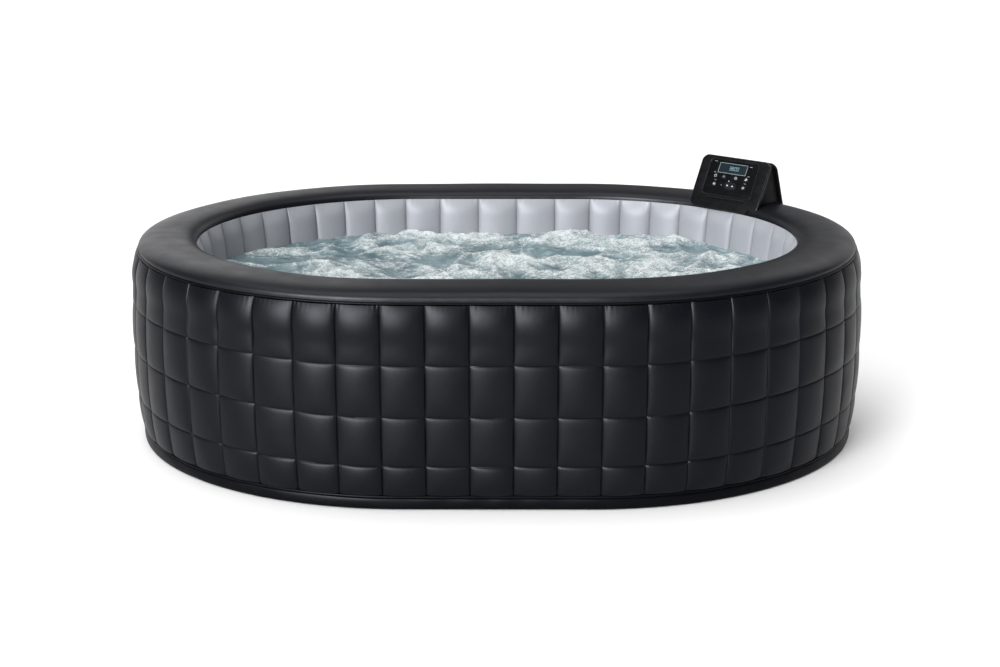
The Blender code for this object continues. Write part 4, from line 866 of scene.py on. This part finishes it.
def make_console_body():
    """Moulded slab, wedge body, rear leg and the rubber pad they stand on."""
    window = box_outline(KEYPAD_LOW, KEYPAD_HIGH, KEYPAD_CORNER)
    slab = box_outline((-CONSOLE_HALF, -SLAB_OVERHANG), (CONSOLE_HALF, SLAB_LENGTH), SLAB_CORNER, 12)
    bezel = face_plaque(
        "console_slab", [slab, window], -SLAB_THICKNESS, 0.0,
        "console_gloss", 0.0036,
    )
    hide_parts("console_bezel")
    wider, tighter = (
        stand_off(KEYPAD_LOW, KEYPAD_HIGH, spare, KEYPAD_CORNER + spare) for spare in (0.0045, 0.0022)
    )
    face_plaque(
        "keypad_surround", [wider, tighter], -0.002, 0.0010,
        "black_plastic", 0.0008,
    )
    lip = box_outline((-0.074, 0.0235), (0.077, 0.0290), 0.0027)
    face_plaque("hand_ridge", [lip], -0.002, 0.0036, "console_gloss", 0.0024)
    chin = box_outline((-CONSOLE_HALF + 0.003, -0.0155), (CONSOLE_HALF - 0.003, 0.010), 0.012)
    face_plaque("console_chin", [chin], -SLAB_THICKNESS, -0.0040, "black_plastic", 0.0030)

    # The leg has round upper corners and square feet
    leg = box_outline((-CONSOLE_HALF, 0.0), (CONSOLE_HALF, LEG_LENGTH), SLAB_CORNER)
    leg[len(leg) // 2:] = [(-CONSOLE_HALF, 0.0), (CONSOLE_HALF, 0.0)]
    # leg and wedge take the darker plastic, painted shade for their shadowed sides
    rear = plaque(
        "console_leg", [leg], 0.0, LEG_THICKNESS, LEG_FACE,
        "console_painted_shade", "tub", 0.0028,
    )
    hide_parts("console_rear_cover")
    section = rounded(WEDGE_SECTION + WEDGE_SECTION[:2], 0.004)[1:-1]
    half = CONSOLE_HALF - WEDGE_INSET
    body = plaque(
        "console_wedge", [section], -half, half, ACROSS,
        "console_painted_shade", "tub", 0.002,
    )
    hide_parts("console_housing")

    middle = SEAM_RUN[np.argmin(np.hypot(SEAM_X - SEAM_AT[0], SEAM_Y - SEAM_AT[1]))]
    run = middle + np.linspace(-GASKET_HALF, GASKET_HALF, 40)
    offset, height = rim_arch(-GASKET)
    keep = offset < -0.006
    under_offset, under_height = rim_arch(0.0)
    offset = along_run(np.concatenate((offset[keep], under_offset[keep][::-1])), run)
    height = along_run(np.concatenate((height[keep], under_height[keep][::-1])), run)
    pad = ring("console_pad", run, offset, height, "rubber", round_tub=False)
    pad.data.set_sharp_from_angle(angle=math.radians(50))
    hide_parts("console_gasket")


def segment_digit(number, x):
    """Outlines of the lit bars of one seven-bar digit."""
    y, tall = DIGIT_FOOT, DIGIT_HEIGHT
    lit = {"3": "abgcd", "8": "abcdefg", "0": "abcdef"}[number]
    wide, bar = tall * 0.52, tall * 0.10
    gap = bar * 0.25
    across = {"a": tall, "g": tall / 2, "d": 0.0}
    upright = {"f": (0, tall / 2), "b": (wide, tall / 2), "e": (0, 0), "c": (wide, 0)}
    outlines = []
    for name in lit:
        if name in across:
            low = (x + gap, y + across[name] - bar / 2)
            high = (x + wide - gap, y + across[name] + bar / 2)
        else:
            low = (x + upright[name][0] - bar / 2, y + upright[name][1] + gap)
            high = (x + upright[name][0] + bar / 2, y + upright[name][1] + tall / 2 - gap)
        outlines.append(box_outline(low, high, bar * 0.4, 3))
    return outlines


def make_keypad():
    """Glossy keypad with its window, printed marks, indicator and eight keys."""
    window = box_outline(DISPLAY_LOW, DISPLAY_HIGH, 0.002, 4)
    holes = [disc_outline(x, y, BUTTON_RADIUS + 0.0005) for x, y in BUTTONS.values()]
    outline = stand_off(KEYPAD_LOW, KEYPAD_HIGH, -0.0005, KEYPAD_CORNER - 0.0005)
    sheet = face_plaque(
        "keypad_plate", [outline, window, disc_outline(*LED_SPOT, 0.0021, 16), *holes], -0.0040, -0.0015,
        "keypad_gloss", 0.0003,
    )
    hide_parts("keypad_panel")

    inside = stand_off(DISPLAY_LOW, DISPLAY_HIGH, -0.0004, 0.0016, 4)
    lens = face_plaque("display_glass", [inside], -0.0036, -0.0012, "screen_glass", 0.0004)
    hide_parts("display_lens")
    trim_out = stand_off(DISPLAY_LOW, DISPLAY_HIGH, 0.0012, 0.0028, 4)
    trim_in = stand_off(DISPLAY_LOW, DISPLAY_HIGH, -0.0006, 0.0014, 4)
    face_plaque(
        "display_trim", [trim_out, trim_in], -0.0016, -0.0008,
        "window_trim", 0.0003,
    )
    digits = [bar for number, x in DIGITS for bar in segment_digit(number, x)]
    digits.append(disc_outline(-0.0002, DIGIT_FOOT + 0.0002, 0.0007, 12))
    face_plaque("display_digits", digits, -0.00125, -0.00095, "digit_glow", 0.0001)

    marks = [
        box_outline((x - half, y - 0.0006), (x + half, y + 0.0006), 0.0005, 3)
        for x, y, half in PRINTED_DASHES
    ]
    marks.append([(-0.0095, 0.0895), (-0.0025, 0.0895), (-0.006, 0.0940)])
    face_plaque("keypad_marks", marks, -0.00155, -0.00130, "trim_print", 0.0001)
    pad = box_outline((-0.0190, 0.0610), (0.0275, 0.0870), 0.0129, 10)
    holes = [disc_outline(*BUTTONS[name], BUTTON_RADIUS + 0.0005) for name in TEMPERATURE_KEYS]
    face_plaque("temperature_pad", [pad, *holes], -0.0017, -0.0004, "black_plastic", 0.0006)

    lamp = [(0, -0.0004), (0.0010, -0.0006), (0.0017, -0.0013), (0.0017, -0.0115), (0, -0.0115)]
    led = lathe(
        "indicator_lamp", lamp, FACE @ Matrix.Translation((*LED_SPOT, 0)),
        "digit_glow", "tub", 20, edge=0.0003,
    )
    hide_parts("status_led")
    for name in BUTTONS:
        make_key(name)


def ring_part(radius, width, start, end, steps=18):
    """Part of a flat ring between two angles in degrees."""
    turns = [math.radians(start + (end - start) * step / steps) for step in range(steps + 1)]
    inner = [polar(radius - width, turn) for turn in reversed(turns)]
    return [polar(radius, turn) for turn in turns] + inner


def bar_part(x, y, long, wide, turn):
    """A short bar about a middle point, turned by an angle in degrees."""
    c, s = math.cos(math.radians(turn)), math.sin(math.radians(turn))
    corners = box_outline((-long / 2, -wide / 2), (long / 2, wide / 2), wide * 0.35, 2)
    return [(x + c * a - s * b, y + s * a + c * b) for a, b in corners]


def rays(reach, long, wide, start, step):
    """Short bars that point outwards, evenly spaced round a middle."""
    turns = range(start, start + 360, step)
    return [bar_part(*polar(reach, math.radians(turn)), long, wide, turn) for turn in turns]


# Outlines of a plain generic sign for each key
KEY_SIGNS = {
    "power_button": [ring_part(0.0050, 0.0015, -240, 60), bar_part(0, 0.0035, 0.0050, 0.0015, 90)],
    "lock_button": [
        box_outline((-0.0038, -0.0036), (0.0038, 0.0012), 0.0008, 3),
        ring_part(0.0026, 0.0011, -5, 185, 10),
    ],
    "timer_button": [
        disc_outline(0, 0, 0.0046, 28), disc_outline(0, 0, 0.0034, 28),
        bar_part(0, 0.0010, 0.0030, 0.0009, 90), bar_part(0.0010, -0.0004, 0.0026, 0.0009, -8),
    ],
    "bubble_button": [
        disc_outline(-0.0020, -0.0018, 0.0027, 20), disc_outline(0.0026, 0.0004, 0.0021, 20),
        disc_outline(-0.0008, 0.0034, 0.0016, 18),
    ],
    "heater_button": [disc_outline(0, 0, 0.0024, 20), *rays(0.0044, 0.0022, 0.0012, 0, 45)],
    "temp_down_button": [[(-0.0040, 0.0026), (0, -0.0038), (0.0040, 0.0026)]],
    "temp_up_button": [[(-0.0040, -0.0026), (0.0040, -0.0026), (0, 0.0038)]],
    "filter_button": rays(0.0028, 0.0042, 0.0016, 30, 60),
}


def make_key(name):
    """One dished key with its printed sign."""
    place = FACE @ Matrix.Translation((*BUTTONS[name], 0))
    reach = BUTTON_RADIUS
    profile = [
        (0, 0.0006), (reach * 0.55, 0.0008), (reach - 0.0012, 0.0010), (reach, 0.0002),
        (reach, -0.0048), (reach + 0.0008, -0.0048), (reach + 0.0008, -0.0060),
        (0.004, -0.0060), (0.004, -0.0105), (0, -0.0105),
    ]
    key = lathe(name + "_cap", profile, place, "black_plastic", name, edge=0.0005)
    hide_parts(name)
    sign = KEY_SIGNS[name]
    plaque(name + "_sign", sign, 0.0004, 0.00115, place, "icon_print", name, 0.0002)


# ---- Fittings at the back


def make_service_panel():
    """Access panel over the pump and blower, with louvres, cable gland and four screws."""
    upright = CONTROL @ Matrix.Rotation(math.radians(90), 4, "X")
    back = BOX_FRONT_Y + 0.0005
    outline = box_outline((-PANEL_HALF, PANEL_LOW), (PANEL_HALF, PANEL_HIGH), 0.012)
    slots = [
        box_outline((-0.008, height - 0.0025), (0.072, height + 0.0025), 0.0022, 4)
        for height in (LOUVRE_FOOT + LOUVRE_PITCH * slot for slot in range(LOUVRES))
    ]
    spots = [
        (side * (PANEL_HALF - SCREW_INSET), height)
        for height in (PANEL_LOW + SCREW_INSET, PANEL_HIGH - SCREW_INSET) for side in (-1, 1)
    ]
    holes = [disc_outline(x, y, 0.0023, 16) for x, y in spots]
    gland_hole = disc_outline(*INLET, 0.0105)
    panel = plaque(
        "access_panel", [outline, gland_hole, *slots, *holes], -back - 0.004, -back, upright,
        "black_plastic", "tub", 0.0012,
    )
    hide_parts("service_panel")
    field_low, field_high = (-0.094, 0.079), (0.094, 0.361)
    raised = stand_off(field_low, field_high, 0.004, 0.016)
    field = box_outline(field_low, field_high, 0.012)
    plaque(
        "access_panel_rib", [raised, field], -back - 0.0052, -back - 0.0038, upright,
        "black_plastic", "tub", 0.0006,
    )
    for number, (x, y) in enumerate(spots, 1):
        place = CONTROL @ Matrix.Translation((x, back + 0.004, y)) @ OUTWARD
        head = [
            (0, 0.0008), (0.0014, 0.0010), (0.0018, 0.0026), (0.0030, 0.0025), (0.004, 0.0014),
            (0.004, 0.0004), (0.0018, 0.0004), (0.0018, -0.012), (0, -0.012),
        ]
        screw = lathe(f"screw_head_{number}", head, place, "steel", "tub", 24, edge=0.0003)
        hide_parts(f"panel_screw_{number}")
    place = CONTROL @ Matrix.Translation((INLET[0], back + 0.004, INLET[1])) @ OUTWARD
    gland = [
        (0.006, 0.014), (0.011, 0.014), (0.0115, 0.0085), (0.014, 0.008), (0.014, 0.0004),
        (0.010, 0.0004), (0.010, -0.014), (0.006, -0.014),
    ]

    def flats(turn, radius):
        return 1.0 - 0.05 * abs(math.sin(3 * turn)) if radius > 0.0135 else 1.0

    gland_item = lathe(
        "cable_gland", gland, place, "black_plastic", "tub", 48,
        closed=True, squash=flats,
    )
    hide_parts("power_inlet")


def make_drain():
    """Drain pipe with its flange, and the grooved screw cap on it."""
    x, y, z = DRAIN_SPOT
    axis = BACK @ Matrix.Translation((x, y, z)) @ OUTWARD
    end = DRAIN_PIPE_END - y
    pipe = [
        (0.024, -0.008), (0.024, -0.011), (0.017, -0.011), (0.017, end), (0.014, end), (0.014, -0.008),
    ]
    item = lathe("drain_tube", pipe, axis, "grey_plastic", "tub", closed=True)
    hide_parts("drain_pipe")

    def grooves(turn, radius):
        return 0.93 + 0.07 * min(1.0, abs(math.sin(8 * turn)) * 2.2) if radius > 0.0185 else 1.0

    cap = [
        (0, 0.0020), (0.012, 0.0022), (0.014, 0.004), (0.0185, 0.004), (0.021, 0.0020),
        (0.021, -0.0075), (0.0134, -0.0075), (0.0134, -0.016), (0, -0.016),
    ]
    item = lathe("drain_screw_cap", cap, axis, "black_plastic", "drain_cap", 128,
                 squash=grooves)
    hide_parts("drain_cap")


def make_valve():
    """Inflation valve: ringed body and hinged cap; the cap's strap and the sprung plunger are not built
    here.
    """
    axis = BACK @ Matrix.Translation(VALVE_SPOT) @ OUTWARD
    body = [
        (0.030, -0.0030), (0.030, -0.0052), (0.020, -0.0052), (0.020, -0.040), (0.012, -0.040),
        (0.012, -0.038), (0.0165, -0.038), (0.0165, -0.0030), (0.0265, -0.0030),
        (0.0268, -0.0028), (0.0285, -0.0028), (0.0288, -0.0030),
    ]
    item = lathe("valve_ring", body, axis, "black_plastic", "tub", 64,
                 closed=True, edge=0.0003)
    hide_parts("valve_body")

    def lifting_tab(turn, radius):
        up = max(0.0, math.cos(turn + math.pi / 2)) ** 12
        return 1.0 + 0.07 * up if radius > 0.0250 else 1.0

    cap = [
        (0, 0.0016), (0.0165, 0.0018), (0.0180, 0.0030), (0.024, 0.003), (0.026, 0.0012),
        (0.026, -0.0025), (0.0140, -0.0025), (0.0140, -0.010), (0, -0.010),
    ]
    item = lathe("valve_lid", cap, axis, "black_plastic", "valve_cap", 96,
                 squash=lifting_tab)
    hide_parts("valve_cap")


def main():
    make_outer_wall()
    make_rim()
    make_welt("rim_piping", "outer_welt", 0.0008, OUTER_SEAM_Z, WELT_RADIUS, True)
    make_welt(
        "base_piping", "base_welt", BASE_WELT_OFFSET, BASE_WELT_HEIGHT, BASE_WELT_RADIUS, False,
    )
    make_skirt()
    make_inner_wall()
    make_water()
    make_console_body()
    make_keypad()
    make_service_panel()
    make_drain()
    make_valve()


main()


def carry_over():
    """Every CAD node that still shows gets the material of its record slot."""
    slots = {part["node"]: part["material_slot"] for part in frame["record"]["subparts"]}
    for name, item in frame["nodes"].items():
        item.data.materials.clear()
        item.data.materials.append(MATERIALS[slots[name]])


carry_over()


def make_floor():
    """A pale floor under the tub."""
    mesh = bpy.data.meshes.new("floor")
    half = FLOOR_HALF
    corners = [(-half, -half, 0), (half, -half, 0), (half, half, 0), (-half, half, 0)]
    mesh.from_pydata(corners, [], [(0, 1, 2, 3)])
    floor = bpy.data.objects.new("floor", mesh)
    bpy.context.scene.collection.objects.link(floor)
    material, n = new_material("floor_white", 0.7, specular=0.2)
    n.link(n.mix(n.noise(0.6), (0.90, 0.90, 0.90), (0.93, 0.93, 0.93)), n.shader.inputs["Base Color"])
    mesh.materials.append(material)


def make_lights():
    """An even fill, and soft suns."""
    world = bpy.data.worlds.new("studio")
    world.use_nodes = True
    tree = world.node_tree
    backdrop = tree.nodes["Background"]
    backdrop.inputs["Color"].default_value = (1.0, 1.0, 1.0, 1.0)
    paths = tree.nodes.new("ShaderNodeLightPath")
    strength = tree.nodes.new("ShaderNodeMapRange")
    strength.inputs["To Min"].default_value = FILL_LIGHT
    strength.inputs["To Max"].default_value = BACKDROP_LIGHT
    tree.links.new(paths.outputs["Is Camera Ray"], strength.inputs["Value"])
    tree.links.new(strength.outputs["Result"], backdrop.inputs["Strength"])
    bpy.context.scene.world = world
    bpy.context.scene.view_settings.view_transform = "Standard"
    for name, direction, power, spread_angle, only_reflected in SUNS:
        light = bpy.data.lights.new(name, "SUN")
        light.energy = power
        light.angle = math.radians(spread_angle)
        item = bpy.data.objects.new(name, light)
        item.rotation_euler = Vector(direction).to_track_quat("-Z", "Y").to_euler()
        item.visible_diffuse = not only_reflected
        bpy.context.scene.collection.objects.link(item)


def make_camera():
    camera = bpy.data.cameras.new("camera")
    camera.lens = CAMERA_LENS
    camera.sensor_width = CAMERA_SENSOR
    item = bpy.data.objects.new("camera", camera)
    item.location = CAMERA_AT
    item.rotation_euler = CAMERA_TURN
    bpy.context.scene.collection.objects.link(item)
    bpy.context.scene.camera = item


make_floor()
make_lights()
make_camera()
